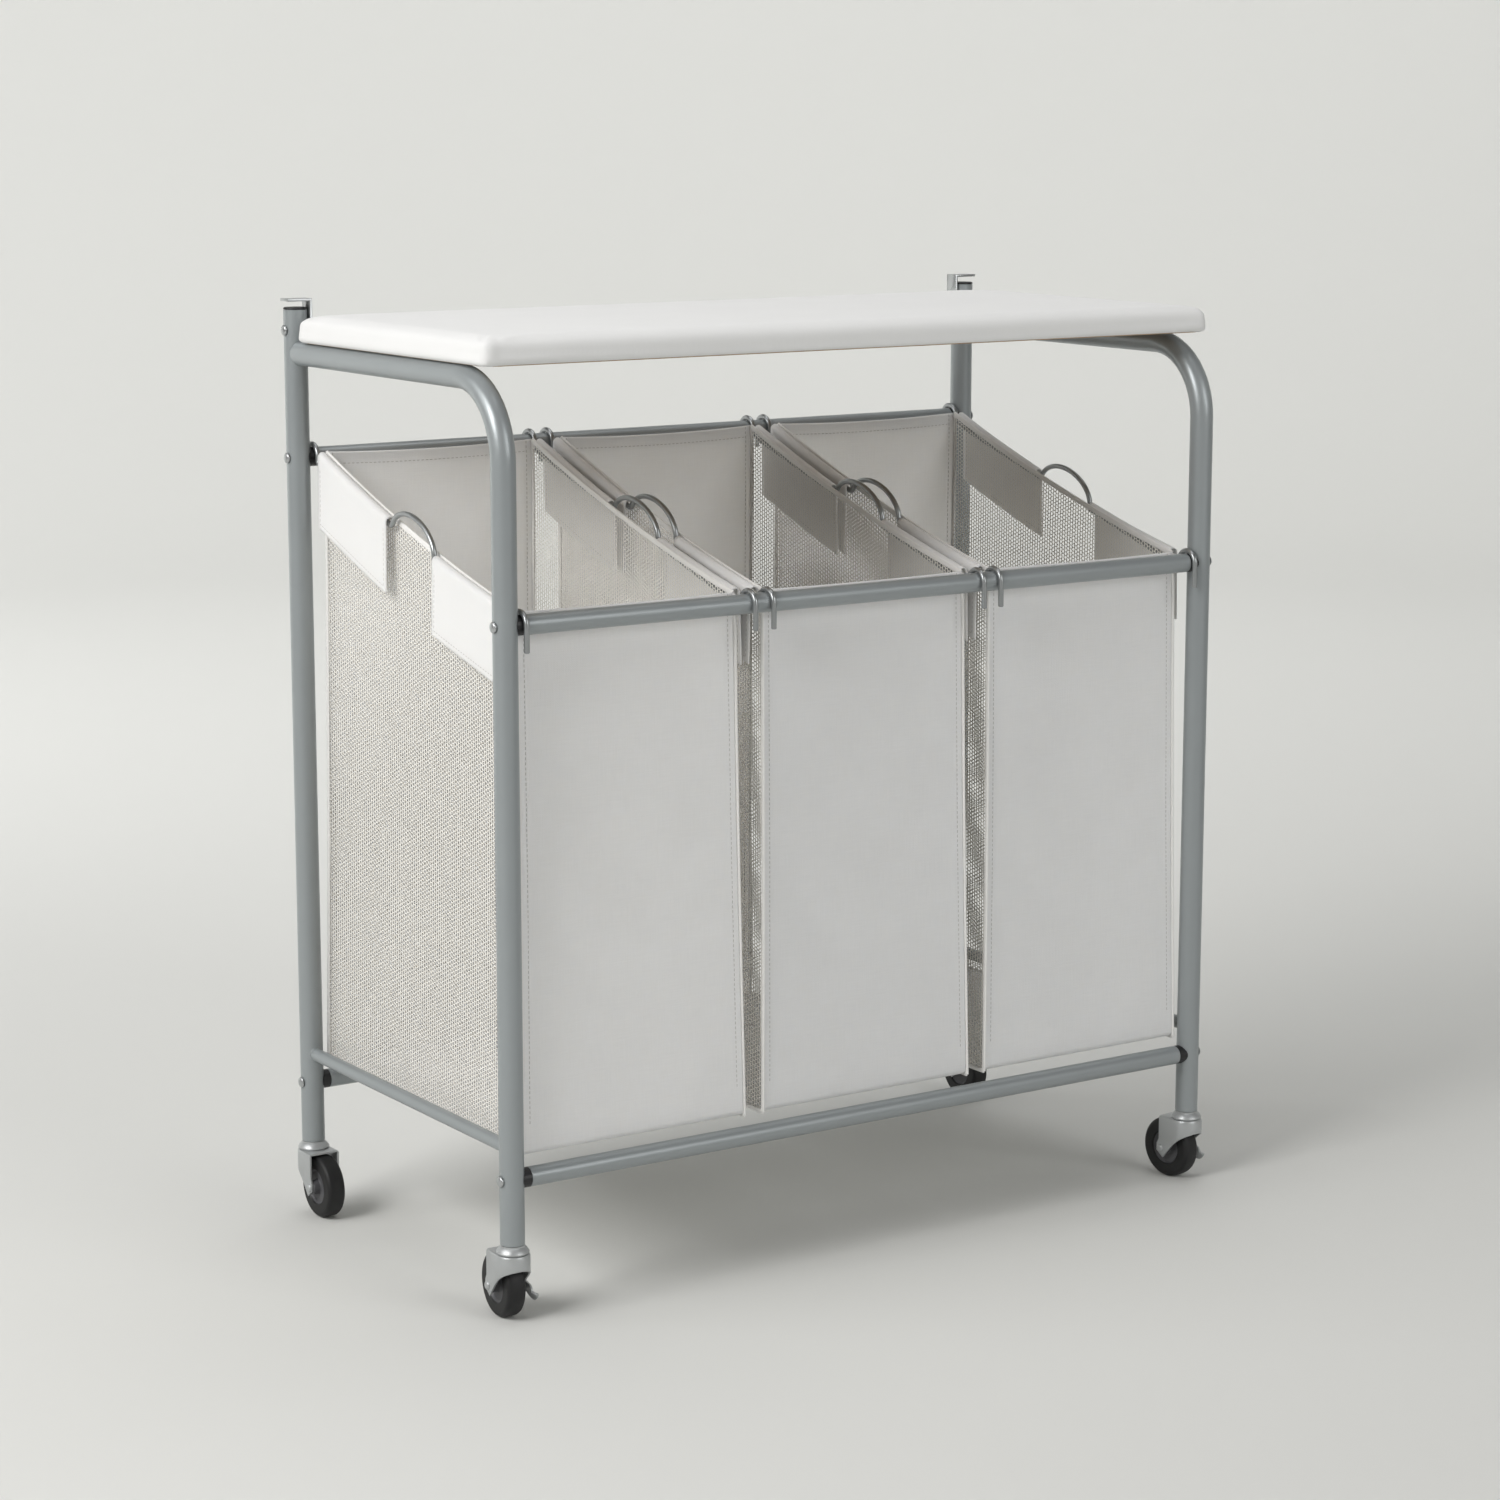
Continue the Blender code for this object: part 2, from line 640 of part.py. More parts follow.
def make_bag(name, x, canvas):
    """One bag with its two flaps on each side."""
    bag = add_piece(f"{name}_bag", bag_shell_mesh(), canvas, (x, 0, 0))
    end_y = BAG_TOP_DEPTH / 2 - FLAP_END_SETBACK
    for sign in (-1, 1):
        combine(bag, flap_mesh(sign, REAR_FLAP_FRONT_Y, end_y), "UNION")
        combine(bag, flap_mesh(sign, -end_y, FRONT_FLAP_REAR_Y), "UNION")


def rod_path():
    """A rod's centre line in its own Y-Z plane: hook, sloping run with the raised handle, hook."""

    def on_run(y):
        return (0, y, rim_height(y) - ROD_BELOW_RIM)

    front_bar, rear_bar = -POST_Y, POST_Y
    front_foot = on_run(FRONT_FLAP_REAR_Y + HANDLE_FOOT_GAP)
    rear_foot = on_run(REAR_FLAP_FRONT_Y - HANDLE_FOOT_GAP)
    front_top = UPPER_FRONT_BAR_Z + HOOK_RADIUS
    rear_top = UPPER_REAR_BAR_Z + HOOK_RADIUS
    corners = [
        (0, front_bar - HOOK_RADIUS, UPPER_FRONT_BAR_Z - FRONT_HOOK_DROP),
        (0, front_bar - HOOK_RADIUS, front_top),
        (0, front_bar + HOOK_RADIUS, front_top),
        on_run(front_bar + HOOK_RADIUS),
        front_foot,
    ]
    radii = [HOOK_RADIUS * 0.999, HOOK_RADIUS * 0.999, ROD_CORNER_RADIUS, HANDLE_FOOT_RADIUS]
    start = Vector(front_foot)
    end = Vector(rear_foot)
    half_chord = (end - start).length / 2
    along = (end - start).normalized()
    up = Vector((0, -along.z, along.y))
    arc_radius = (half_chord**2 + HANDLE_RISE**2) / (2 * HANDLE_RISE)
    centre = (start + end) / 2 + up * (HANDLE_RISE - arc_radius)
    half_angle = atan2(half_chord, arc_radius - HANDLE_RISE)
    arch_steps = 10
    for k in range(1, arch_steps):
        angle = half_angle * (2 * k / arch_steps - 1)
        corners.append(tuple(centre + arc_radius * (sin(angle) * along + cos(angle) * up)))
        radii.append(0)
    corners += [
        rear_foot,
        on_run(rear_bar - HOOK_RADIUS),
        (0, rear_bar - HOOK_RADIUS, rear_top),
        (0, rear_bar + HOOK_RADIUS, rear_top),
        (0, rear_bar + HOOK_RADIUS, UPPER_REAR_BAR_Z - REAR_HOOK_DROP),
    ]
    radii += [HANDLE_FOOT_RADIUS, ROD_CORNER_RADIUS, HOOK_RADIUS * 0.999, HOOK_RADIUS * 0.999]
    return rounded_path(corners, radii, 4)


def make_rods(name, x, wire):
    """The two wire rods of one bag."""
    for side_name, sign in (("left", -1), ("right", 1)):
        mesh = swept_mesh("bag_rod", rod_path(), (1, 0, 0), ROD_RADIUS, WIRE_SIDES)
        add_piece(f"{name}_bag_{side_name}_rod", mesh, wire, (x + sign * ROD_SPAN / 2, 0, 0))


def make_stem(name, x, y, zinc):
    """A caster's fixed part: the plug in the post, the raceway collar and the riveted kingpin."""
    bore = POST_RADIUS - TUBE_WALL - FIT
    neck_top = POST_FOOT_Z - FIT
    collar_top = COLLAR_BASE_Z + COLLAR_HEIGHT
    collar = COLLAR_DIAMETER / 2
    neck = (collar + POST_RADIUS) / 2
    plate_base = FORK_TOP_Z - FORK_SHEET - FIT
    profile = [
        (0, plate_base - KINGPIN_HEAD_HEIGHT),
        (KINGPIN_HEAD_DIAMETER / 2, plate_base - KINGPIN_HEAD_HEIGHT),
        (KINGPIN_HEAD_DIAMETER / 2, plate_base),
        (KINGPIN_DIAMETER / 2, plate_base),
        (KINGPIN_DIAMETER / 2, COLLAR_BASE_Z),
        (collar, COLLAR_BASE_Z),
        (collar, COLLAR_BASE_Z + COLLAR_HEIGHT * 0.25),
        (neck, collar_top - COLLAR_HEIGHT * 0.15),
        (neck - COLLAR_HEIGHT * 0.15, collar_top),
        (POST_RADIUS, collar_top),
        (POST_RADIUS, neck_top),
        (bore, neck_top),
        (bore, POST_FOOT_Z + STEM_LENGTH),
        (0, POST_FOOT_Z + STEM_LENGTH),
    ]
    mesh = turned_mesh("caster_stem", profile, POST_SIDES)
    add_piece(f"{name}_caster_stem", mesh, zinc, (x, y, 0))


def fork_plan(inset, heel_y, z):
    """The fork seen from above: half a circle round the swivel axis, and two straight sides."""
    radius = FORK_WIDTH / 2 - inset
    steps = 16
    arc = [pi + pi * k / steps for k in range(steps + 1)]
    points = [(radius * cos(a), radius * sin(a), z) for a in arc]
    return [*points, (radius, heel_y, z), (-radius, heel_y, z)]


def make_fork(name, x, y, turn, has_pedal, zinc):
    """A caster's stamped fork with its riveted axle; the origin is on the swivel axis."""
    heel_y = CASTER_TRAIL + FORK_HEEL
    inner_top = FORK_TOP_Z - FORK_SHEET
    tip_z = WHEEL_RADIUS - FORK_TIP_DROP
    base_z = tip_z - FORK_SHEET
    past_y = heel_y + FORK_EYE_RADIUS
    work = bmesh.new()
    face = work.faces.new([work.verts.new(p) for p in fork_plan(0, past_y, base_z)])
    made = bmesh.ops.extrude_face_region(work, geom=[face], use_keep_orig=True)
    moved = [v for v in made["geom"] if isinstance(v, bmesh.types.BMVert)]
    bmesh.ops.translate(work, verts=moved, vec=(0, 0, FORK_TOP_Z - base_z))
    top_edge = [e for e in work.edges if all(abs(v.co.z - FORK_TOP_Z) < 1e-6 for v in e.verts)]
    bmesh.ops.bevel(
        work,
        geom=top_edge,
        offset=FORK_SHOULDER,
        segments=2,
        profile=0.5,
        affect="EDGES",
        clamp_overlap=True,
    )
    fork = add_piece(f"{name}_caster_fork", finish_mesh(work, "fork"), zinc, (x, y, 0), turn)
    pocket = prism_mesh(
        "fork_pocket",
        fork_plan(FORK_SHEET, past_y + FORK_SHEET, base_z - FORK_SHEET),
        (0, 0, inner_top - base_z + FORK_SHEET),
    )
    combine(fork, pocket, "DIFFERENCE")

    brow = (-FORK_WIDTH / 2, FORK_TOP_Z - FORK_BROW_DEPTH)
    tip = (CASTER_TRAIL - FORK_TIP_SETBACK, tip_z)
    far = 2 * FORK_WIDTH
    low_z = base_z - 2 * FORK_SHEET
    outline = [(-far, low_z), (-far, brow[1])]
    edge_steps = 8
    for k in range(edge_steps + 1):
        share = k / edge_steps
        edge_y = brow[0] + (tip[0] - brow[0]) * share
        edge_z = brow[1] + (tip[1] - brow[1]) * share + FORK_EDGE_BULGE * sin(pi * share)
        outline.append((edge_y, edge_z))
    eye_y = CASTER_TRAIL + FORK_EYE_RADIUS
    outline += [
        (eye_y, WHEEL_RADIUS - FORK_EYE_RADIUS / 2),
        (eye_y, WHEEL_RADIUS + FORK_EYE_RADIUS),
        (heel_y, WHEEL_RADIUS + 2 * FORK_EYE_RADIUS),
        (heel_y, FORK_TOP_Z + FORK_SHEET),
        (far, FORK_TOP_Z + FORK_SHEET),
        (far, low_z),
    ]
    cut = [(-FORK_WIDTH, py, pz) for py, pz in outline]
    combine(fork, prism_mesh("fork_trim", cut, (2 * FORK_WIDTH, 0, 0)), "DIFFERENCE")

    swivel = cylinder_mesh(
        "fork_swivel_hole",
        (0, 0, inner_top - FORK_SHEET),
        (0, 0, FORK_TOP_Z + FORK_SHEET),
        KINGPIN_DIAMETER / 2 + FIT,
        POST_SIDES,
        (1, 0, 0),
    )
    combine(fork, swivel, "DIFFERENCE")

    shank = AXLE_DIAMETER / 2
    head = AXLE_HEAD_DIAMETER / 2
    left_end = FORK_WIDTH / 2
    right_end = FORK_WIDTH / 2 + (PEDAL_SHEET + 2 * FIT if has_pedal else 0)
    sink = FORK_SHEET / 2
    left_seat = left_end - sink
    right_seat = right_end - (0 if has_pedal else sink)
    profile = [
        (0, -left_end - AXLE_HEAD_HEIGHT),
        (head * 0.7, -left_end - AXLE_HEAD_HEIGHT),
        (head, -left_end - AXLE_HEAD_HEIGHT * 0.4),
        (head, -left_seat),
        (shank, -left_seat),
        (shank, right_seat),
        (head, right_seat),
        (head, right_end + AXLE_HEAD_HEIGHT * 0.4),
        (head * 0.7, right_end + AXLE_HEAD_HEIGHT),
        (0, right_end + AXLE_HEAD_HEIGHT),
    ]
    axle = turned_mesh("axle", profile, BOLT_SIDES, "X")
    axle.transform(Matrix.Translation((0, CASTER_TRAIL, WHEEL_RADIUS)))
    combine(fork, axle, "UNION")
    return fork


def make_wheel(name, fork, rubber):
    """A solid wheel with rounded shoulders, dished sides and a hub; the origin is on the axle.

    The flats of the tread, not its corners, lie at the wheel's radius, so that it stands on a flat.
    """
    radius = WHEEL_RADIUS / cos(pi / WHEEL_SIDES)
    half = WHEEL_WIDTH / 2
    hub_half = FORK_INNER_X - FIT
    disc_half = half - WHEEL_RECESS
    side = [
        (AXLE_DIAMETER / 2 + FIT, hub_half),
        (HUB_DIAMETER / 2, hub_half),
        (HUB_DIAMETER / 2, disc_half),
        (WHEEL_RECESS_DIAMETER / 2 - WHEEL_RECESS, disc_half),
        (WHEEL_RECESS_DIAMETER / 2, half),
        (radius - WHEEL_SHOULDER, half),
        (radius - WHEEL_SHOULDER * 0.3, half - WHEEL_SHOULDER * 0.3),
        (radius, half - WHEEL_SHOULDER),
    ]
    other_side = [(r, -x) for r, x in reversed(side)]
    profile = [*side, *other_side, side[0]]
    mesh = turned_mesh("wheel", profile, WHEEL_SIDES, "X")
    place = (0, CASTER_TRAIL, WHEEL_RADIUS)
    add_piece(f"{name}_wheel", mesh, rubber, place, parent=fork)


def make_pedal(name, fork, zinc):
    """A side brake lever on the axle, with a foot tab bent outwards; the origin is on the axle."""
    eye = AXLE_HEAD_DIAMETER / 2
    hole = AXLE_DIAMETER / 2 + FIT
    tip = -PEDAL_REACH
    outline = [
        (eye, -eye * 0.6),
        (eye, eye * 0.6),
        (eye * 0.4, eye),
        (-eye * 0.6, eye),
        (tip, eye),
        (tip, 0),
        (-eye * 0.6, -eye),
        (eye * 0.4, -eye),
    ]
    points = [(PEDAL_INNER_X, y, z) for y, z in outline]
    mesh = prism_mesh("brake_pedal", points, (PEDAL_SHEET, 0, 0))
    place = (0, CASTER_TRAIL, WHEEL_RADIUS)
    pedal = add_piece(f"{name}_brake_pedal", mesh, zinc, place, parent=fork)
    outer = PEDAL_INNER_X + PEDAL_SHEET
    end = outer + PEDAL_TAB_LENGTH
    rear = tip + PEDAL_TAB_WIDTH
    top = eye - PEDAL_SHEET - FIT
    root = PEDAL_INNER_X + PEDAL_SHEET / 2
    corner = PEDAL_TAB_WIDTH / 4
    plan = [
        (root, tip + FIT),
        (end - corner, tip + FIT),
        (end, tip + corner),
        (end, rear - corner),
        (end - corner, rear),
        (root, rear),
    ]
    fall = PEDAL_TAB_DROP / (end - root)
    tab = [(px, py, top - fall * (px - root)) for px, py in plan]
    combine(pedal, prism_mesh("pedal_tab", tab, (0, 0, PEDAL_SHEET)), "UNION")
    bore = cylinder_mesh(
        "pedal_hole",
        (PEDAL_INNER_X - PEDAL_SHEET, 0, 0),
        (outer + PEDAL_SHEET, 0, 0),
        hole,
        BOLT_SIDES,
        (0, 1, 0),
    )
    combine(pedal, bore, "DIFFERENCE")


def build():
    clear_scene()
    silver = make_material("silver_painted_steel", (0.42, 0.45, 0.46), 0.38, 0.55)
    steel = make_material("bright_zinc_steel", (0.55, 0.57, 0.58), 0.32, 0.9)
    plastic = make_material("black_plastic", (0.02, 0.02, 0.02), 0.45, 0.0)
    rubber = make_material("black_rubber", (0.025, 0.025, 0.027), 0.7, 0.0)
    canvas = make_material("natural_canvas", (0.80, 0.79, 0.76), 0.9, 0.0)
    cotton = make_material("white_cotton_cover", (0.90, 0.90, 0.89), 0.85, 0.0)
    wood = make_material("pressed_fibre_board", (0.45, 0.34, 0.23), 0.8, 0.0)

    for side_name, sign in (("left", -1), ("right", 1)):
        make_side_frame(side_name, sign, silver)
        make_rear_post_cap(side_name, sign, plastic)
    bars = (
        ("lower_front", -POST_Y, LOWER_BAR_Z),
        ("lower_rear", POST_Y, LOWER_BAR_Z),
        ("upper_front", -POST_Y, UPPER_FRONT_BAR_Z),
        ("upper_rear", POST_Y, UPPER_REAR_BAR_Z),
    )
    for name, y, z in bars:
        make_cross_bar(name, y, z, silver, plastic, steel)

    pivot = bpy.data.objects.new("board_hinge_axis", None)
    bpy.context.scene.collection.objects.link(pivot)
    pivot.location = (0, POST_Y, HINGE_AXIS_Z)
    make_board(pivot, cotton, wood)
    for side_name, sign in (("left", -1), ("right", 1)):
        make_hinge(side_name, sign, pivot, steel)

    for name, place in (("left", -1), ("middle", 0), ("right", 1)):
        make_bag(name, place * BAG_PITCH, canvas)
        make_rods(name, place * BAG_PITCH, steel)

    rest_turns = {
        "front_left": FRONT_LEFT_TURN,
        "front_right": FRONT_RIGHT_TURN,
        "rear_left": pi,
        "rear_right": pi,
    }
    for side_name, sign in (("left", -1), ("right", 1)):
        for end_name, end_sign in (("front", -1), ("rear", 1)):
            name = f"{end_name}_{side_name}"
            x, y = sign * POST_X, end_sign * POST_Y
            is_front = end_sign < 0
            make_stem(name, x, y, steel)
            fork = make_fork(name, x, y, rest_turns[name], is_front, steel)
            make_wheel(name, fork, rubber)
            if is_front:
                make_pedal(name, fork, steel)
    bpy.context.view_layer.update()


build()
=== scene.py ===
"""Laundry sorter on casters: the finished look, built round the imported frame.

Metres, +Z up, +X to the right, +Y to the back. Each section makes one piece or one group of like
pieces, in the order in which the sorter goes together.
"""

import json

import bmesh
import bpy
import numpy as np
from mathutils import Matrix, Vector


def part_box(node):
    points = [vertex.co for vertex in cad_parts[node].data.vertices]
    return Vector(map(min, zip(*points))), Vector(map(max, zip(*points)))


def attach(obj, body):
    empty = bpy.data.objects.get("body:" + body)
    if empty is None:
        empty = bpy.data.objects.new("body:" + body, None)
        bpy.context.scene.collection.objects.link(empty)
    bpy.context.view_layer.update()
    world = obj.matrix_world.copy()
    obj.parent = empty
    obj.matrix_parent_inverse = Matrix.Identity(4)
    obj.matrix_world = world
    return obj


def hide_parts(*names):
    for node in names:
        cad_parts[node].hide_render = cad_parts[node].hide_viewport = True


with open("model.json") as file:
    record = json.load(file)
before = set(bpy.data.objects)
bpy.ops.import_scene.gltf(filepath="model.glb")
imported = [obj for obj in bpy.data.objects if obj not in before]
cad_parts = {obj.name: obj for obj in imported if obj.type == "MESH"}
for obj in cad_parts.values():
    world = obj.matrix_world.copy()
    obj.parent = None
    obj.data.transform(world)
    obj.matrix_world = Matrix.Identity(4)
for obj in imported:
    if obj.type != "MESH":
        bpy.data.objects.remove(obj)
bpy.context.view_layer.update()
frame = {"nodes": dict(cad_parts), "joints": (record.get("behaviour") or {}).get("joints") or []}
nodes = frame["nodes"]

# ------------------------------------------------------------
# The two side frames. Each is a front tube bent back into the top rail, a straight rear post and
# a thin lower rail, all steel tube welded together and sprayed satin silver grey.
# ------------------------------------------------------------
BEND_RADIUS = 0.070
WELD_DEPTH = 0.0015
SILVER = (0.315, 0.340, 0.350)
TUBE_RADIUS, TUBE_SIDES = 0.011, 48


def box_of(name):
    """The low and the high corner of a CAD node's box, as arrays."""
    return tuple(np.array(corner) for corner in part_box(name))


def centre_of(name):
    """The middle of a CAD node's box, as an array."""
    return sum(box_of(name)) / 2


def calculate(tree, operation, *values):
    """A Math node on numbers or sockets; gives the socket of its result."""
    node = tree.nodes.new("ShaderNodeMath")
    node.operation = operation
    for socket, value in zip(node.inputs, values):
        if isinstance(value, (int, float)):
            socket.default_value = value
        else:
            tree.links.new(value, socket)
    return node.outputs[0]


def shaded(tree, colour, factor):
    """A colour times a factor; gives the socket of the result."""
    node = tree.nodes.new("ShaderNodeVectorMath")
    node.operation = "SCALE"
    if isinstance(colour, tuple):
        node.inputs[0].default_value = colour
    else:
        tree.links.new(colour, node.inputs[0])
    tree.links.new(factor, node.inputs["Scale"])
    return node.outputs[0]


def add_relief(tree, height, strength, distance):
    """Feeds a height, in metres once times distance, to the shader's normal through a Bump node."""
    relief = tree.nodes.new("ShaderNodeBump")
    relief.inputs["Strength"].default_value = strength
    relief.inputs["Distance"].default_value = distance
    tree.links.new(height, relief.inputs["Height"])
    tree.links.new(relief.outputs["Normal"], tree.nodes["Principled BSDF"].inputs["Normal"])


def open_group(name, takes, gives):
    """A shader node group, from (name, kind) pairs of its sockets, and its input and output nodes."""
    group = bpy.data.node_groups.new(name, "ShaderNodeTree")
    for way, pairs in (("INPUT", takes), ("OUTPUT", gives)):
        for socket, kind in pairs:
            group.interface.new_socket(socket, in_out=way, socket_type=f"NodeSocket{kind}")
    return group, group.nodes.new("NodeGroupInput").outputs, group.nodes.new("NodeGroupOutput").inputs


def handling_marks_group():
    """Soft blotches and fine specks: a noise at each of two sizes, spread to a roughness and a tint."""
    takes = [("Vector", "Vector"), ("Colour", "Color")]
    takes += [(name, "Float") for name in ("Blotch Scale", "Speck Scale", "Roughness", "Roughness Spread",
                                           "Tint Spread")]
    gives = [("Colour", "Color"), ("Roughness", "Float"), ("Specks", "Float")]
    group, given, out = open_group("handling_marks", takes, gives)
    link = group.links.new
    patterns = {}
    for name, detail in (("Blotch", 3.0), ("Speck", 1.0)):
        noise = group.nodes.new("ShaderNodeTexNoise")
        noise.inputs["Detail"].default_value = detail
        link(given["Vector"], noise.inputs["Vector"])
        link(given[f"{name} Scale"], noise.inputs["Scale"])
        patterns[name] = noise.outputs["Fac"]
    centred = calculate(group, "SUBTRACT", patterns["Blotch"], 0.5)
    rough = calculate(group, "MULTIPLY_ADD", centred, given["Roughness Spread"], given["Roughness"])
    shade = calculate(group, "MULTIPLY_ADD", centred, given["Tint Spread"], 1.0)
    link(shaded(group, given["Colour"], shade), out["Colour"])
    link(rough, out["Roughness"])
    link(patterns["Speck"], out["Specks"])
    return group


HANDLING_MARKS = handling_marks_group()


def new_material(name, group=None):
    """A material with nodes, its tree, and the node of a group that gives its colour."""
    material = bpy.data.materials.new(name)
    material.use_nodes = True
    tree = material.node_tree
    if group is None:
        return material, tree, None
    node = tree.nodes.new("ShaderNodeGroup")
    node.node_tree = group
    tree.links.new(node.outputs["Colour"], tree.nodes["Principled BSDF"].inputs["Base Color"])
    return material, tree, node


def set_inputs(node, **values):
    """Sets a node's sockets, each named with _ for a space."""
    for name, value in values.items():
        node.inputs[name.replace("_", " ")].default_value = value


def hard_finish(name, colour, roughness, metallic=0.0, spread=0.08, tint=0.06, grain=900.0, bump=0.02,
                blotch=25.0):
    """A hard surface: one colour with soft blotches, and a fine grain in its roughness and bump."""
    material, tree, marks = new_material(name, HANDLING_MARKS)
    shader = tree.nodes["Principled BSDF"]
    set_inputs(shader, Metallic=metallic)
    set_inputs(marks, Blotch_Scale=blotch, Speck_Scale=grain, Roughness=roughness, Roughness_Spread=spread,
               Colour=(*colour, 1.0), Tint_Spread=tint)
    place = tree.nodes.new("ShaderNodeTexCoord")
    tree.links.new(place.outputs["Object"], marks.inputs["Vector"])
    tree.links.new(marks.outputs["Roughness"], shader.inputs["Roughness"])
    add_relief(tree, marks.outputs["Specks"], bump, 0.001)
    return material


silver_paint = hard_finish("silver_paint", SILVER, 0.34, 0.30, spread=0.10, tint=0.05, bump=0.05)


def skin_piece(name, grids, material, sharp=40.0):
    """One closed piece from grids of points: each grid's rows are joined, and each row is a ring.

    A row whose points all meet becomes a pole, because doubles are merged afterwards.
    """
    points, faces, first = [], [], 0
    for grid in grids:
        rows, around = grid.shape[:2]
        row, column = np.meshgrid(np.arange(rows - 1), np.arange(around), indexing="ij")
        a = first + row * around + column
        b = first + row * around + (column + 1) % around
        faces.append(np.stack([a, b, b + around, a + around], -1).reshape(-1, 4))
        points.append(grid.reshape(-1, 3))
        first += rows * around
    mesh = bpy.data.meshes.new(name)
    mesh.from_pydata(np.concatenate(points), [], np.concatenate(faces).tolist())
    work = bmesh.new()
    work.from_mesh(mesh)
    bmesh.ops.remove_doubles(work, verts=work.verts, dist=1e-6)
    bmesh.ops.recalc_face_normals(work, faces=work.faces)
    work.to_mesh(mesh)
    work.free()
    mesh.shade_smooth()
    mesh.set_sharp_from_angle(angle=np.radians(sharp))
    mesh.materials.append(material)
    piece = bpy.data.objects.new(name, mesh)
    bpy.context.scene.collection.objects.link(piece)
    return piece


def fit(piece, body):
    """Lets a piece ride on a body."""
    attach(piece, body)


def along(path):
    """The direction of a path at each point: the difference of its neighbours, made one long."""
    way = np.gradient(path, axis=0)
    return way / np.linalg.norm(way, axis=1, keepdims=True)


def round_bar(path, side, radius, sides=32, edge=0.0004):
    """Rings of a circle carried along a path in one plane: path + r (cos a side + sin a across).

    across is the path's direction crossed with side. Each end is eased by edge and closed to a pole.
    """
    way = along(path)
    side = np.asarray(side, float)
    across = np.cross(way, side)
    angle = 2 * np.pi * np.arange(sides) / sides
    ring = np.cos(angle)[None, :, None] * side + np.sin(angle)[None, :, None] * across[:, None, :]
    first, last = path[0] + way[0] * edge, path[-1] - way[-1] * edge
    middle = path.copy()
    middle[0], middle[-1] = first, last
    body = middle[:, None] + radius * ring
    eased = (radius - edge) / radius
    start = path[0] + radius * eased * ring[:1]
    end = path[-1] + radius * eased * ring[-1:]
    start_pole = np.broadcast_to(path[0], start.shape)
    end_pole = np.broadcast_to(path[-1], end.shape)
    return np.concatenate([start_pole, start, body, end, end_pole])


def straight(start, end, count=2):
    """Points evenly spaced from start to end."""
    share = np.linspace(0, 1, count)[:, None]
    return np.asarray(start) * (1 - share) + np.asarray(end) * share


def arc(centre, first, second, start, end, count=12):
    """centre + cos(a) first + sin(a) second, for a from start to end in degrees."""
    a = np.radians(np.linspace(start, end, count))[:, None]
    return np.asarray(centre) + np.cos(a) * np.asarray(first) + np.sin(a) * np.asarray(second)


def tube_between(name, path, radius, sides=TUBE_SIDES):
    """A painted round tube along a path in an upright plane, in place of the CAD node of its name."""
    tube = skin_piece(f"{name}_skin", [round_bar(path, (1, 0, 0), radius, sides)], silver_paint)
    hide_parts(name)
    fit(tube, "frame")


front_y = box_of("left_front_tube")[0][1] + TUBE_RADIUS
top_z = box_of("left_front_tube")[1][2] - TUBE_RADIUS
rail_z = centre_of("left_side_rail")[2]
rail_radius = box_of("left_side_rail")[1][2] - rail_z
for side in ("left", "right"):
    x, rear_y, _ = centre_of(f"{side}_rear_post")
    foot_z = box_of(f"{side}_front_tube")[0][2]
    bend = (x, front_y + BEND_RADIUS, top_z - BEND_RADIUS)
    tube_between(f"{side}_front_tube", np.concatenate([
        straight((x, front_y, foot_z), (x, front_y, bend[2] - 0.001), 3),
        arc(bend, (0, -BEND_RADIUS, 0), (0, 0, BEND_RADIUS), 0, 90, 28),
        straight((x, bend[1] + 0.001, top_z), (x, rear_y - TUBE_RADIUS + WELD_DEPTH, top_z), 3),
    ]), TUBE_RADIUS)
    low, high = box_of(f"{side}_rear_post")
    tube_between(f"{side}_rear_post", straight((x, rear_y, low[2]), (x, rear_y, high[2]), 3), TUBE_RADIUS)
    inset = TUBE_RADIUS - WELD_DEPTH
    rail = straight((x, front_y + inset, rail_z), (x, rear_y - inset, rail_z))
    tube_between(f"{side}_side_rail", rail, rail_radius, 32)

# ------------------------------------------------------------
# Weld beads, where the lower rail butts against the posts: small fillets under the same paint, on
# the round of the post.
# ------------------------------------------------------------
BEAD_RADIUS = 0.0011


def bead_ring(x, y, z, radius, sign, post_radius):
    """A thin ring of weld round a tube's end, pressed on the post: its points follow both tubes.

    A point at angle a round the tube lies at x + r cos a, z + r sin a, and as far from the post's
    axis as the post's round surface is there.
    """
    a = np.radians(np.linspace(0, 360, 48, endpoint=False))
    dx, dz = radius * np.cos(a), radius * np.sin(a)
    dy = sign * np.sqrt(post_radius**2 - np.clip(dx, -0.98 * post_radius, 0.98 * post_radius) ** 2)
    path = np.stack([x + dx, y + dy, z + dz], -1)
    way = np.roll(path, -1, 0) - np.roll(path, 1, 0)
    way /= np.linalg.norm(way, axis=1, keepdims=True)
    out = np.stack([np.cos(a), 0 * a, np.sin(a)], -1)
    out -= (out * way).sum(1, keepdims=True) * way
    out /= np.linalg.norm(out, axis=1, keepdims=True)
    other = np.cross(way, out)
    b = np.radians(np.linspace(0, 360, 8, endpoint=False))
    rings = path[None] + BEAD_RADIUS * (np.cos(b)[:, None, None] * out + np.sin(b)[:, None, None] * other)
    return np.concatenate([rings, rings[:1]])


for side in ("left", "right"):
    x, rear_y, _ = centre_of(f"{side}_rear_post")
    ends = ((rear_y, -1), (front_y, 1))
    beads = [bead_ring(x, y, rail_z, rail_radius, sign, TUBE_RADIUS) for y, sign in ends]
    fit(skin_piece(f"{side}_rail_welds", beads, silver_paint), "frame")

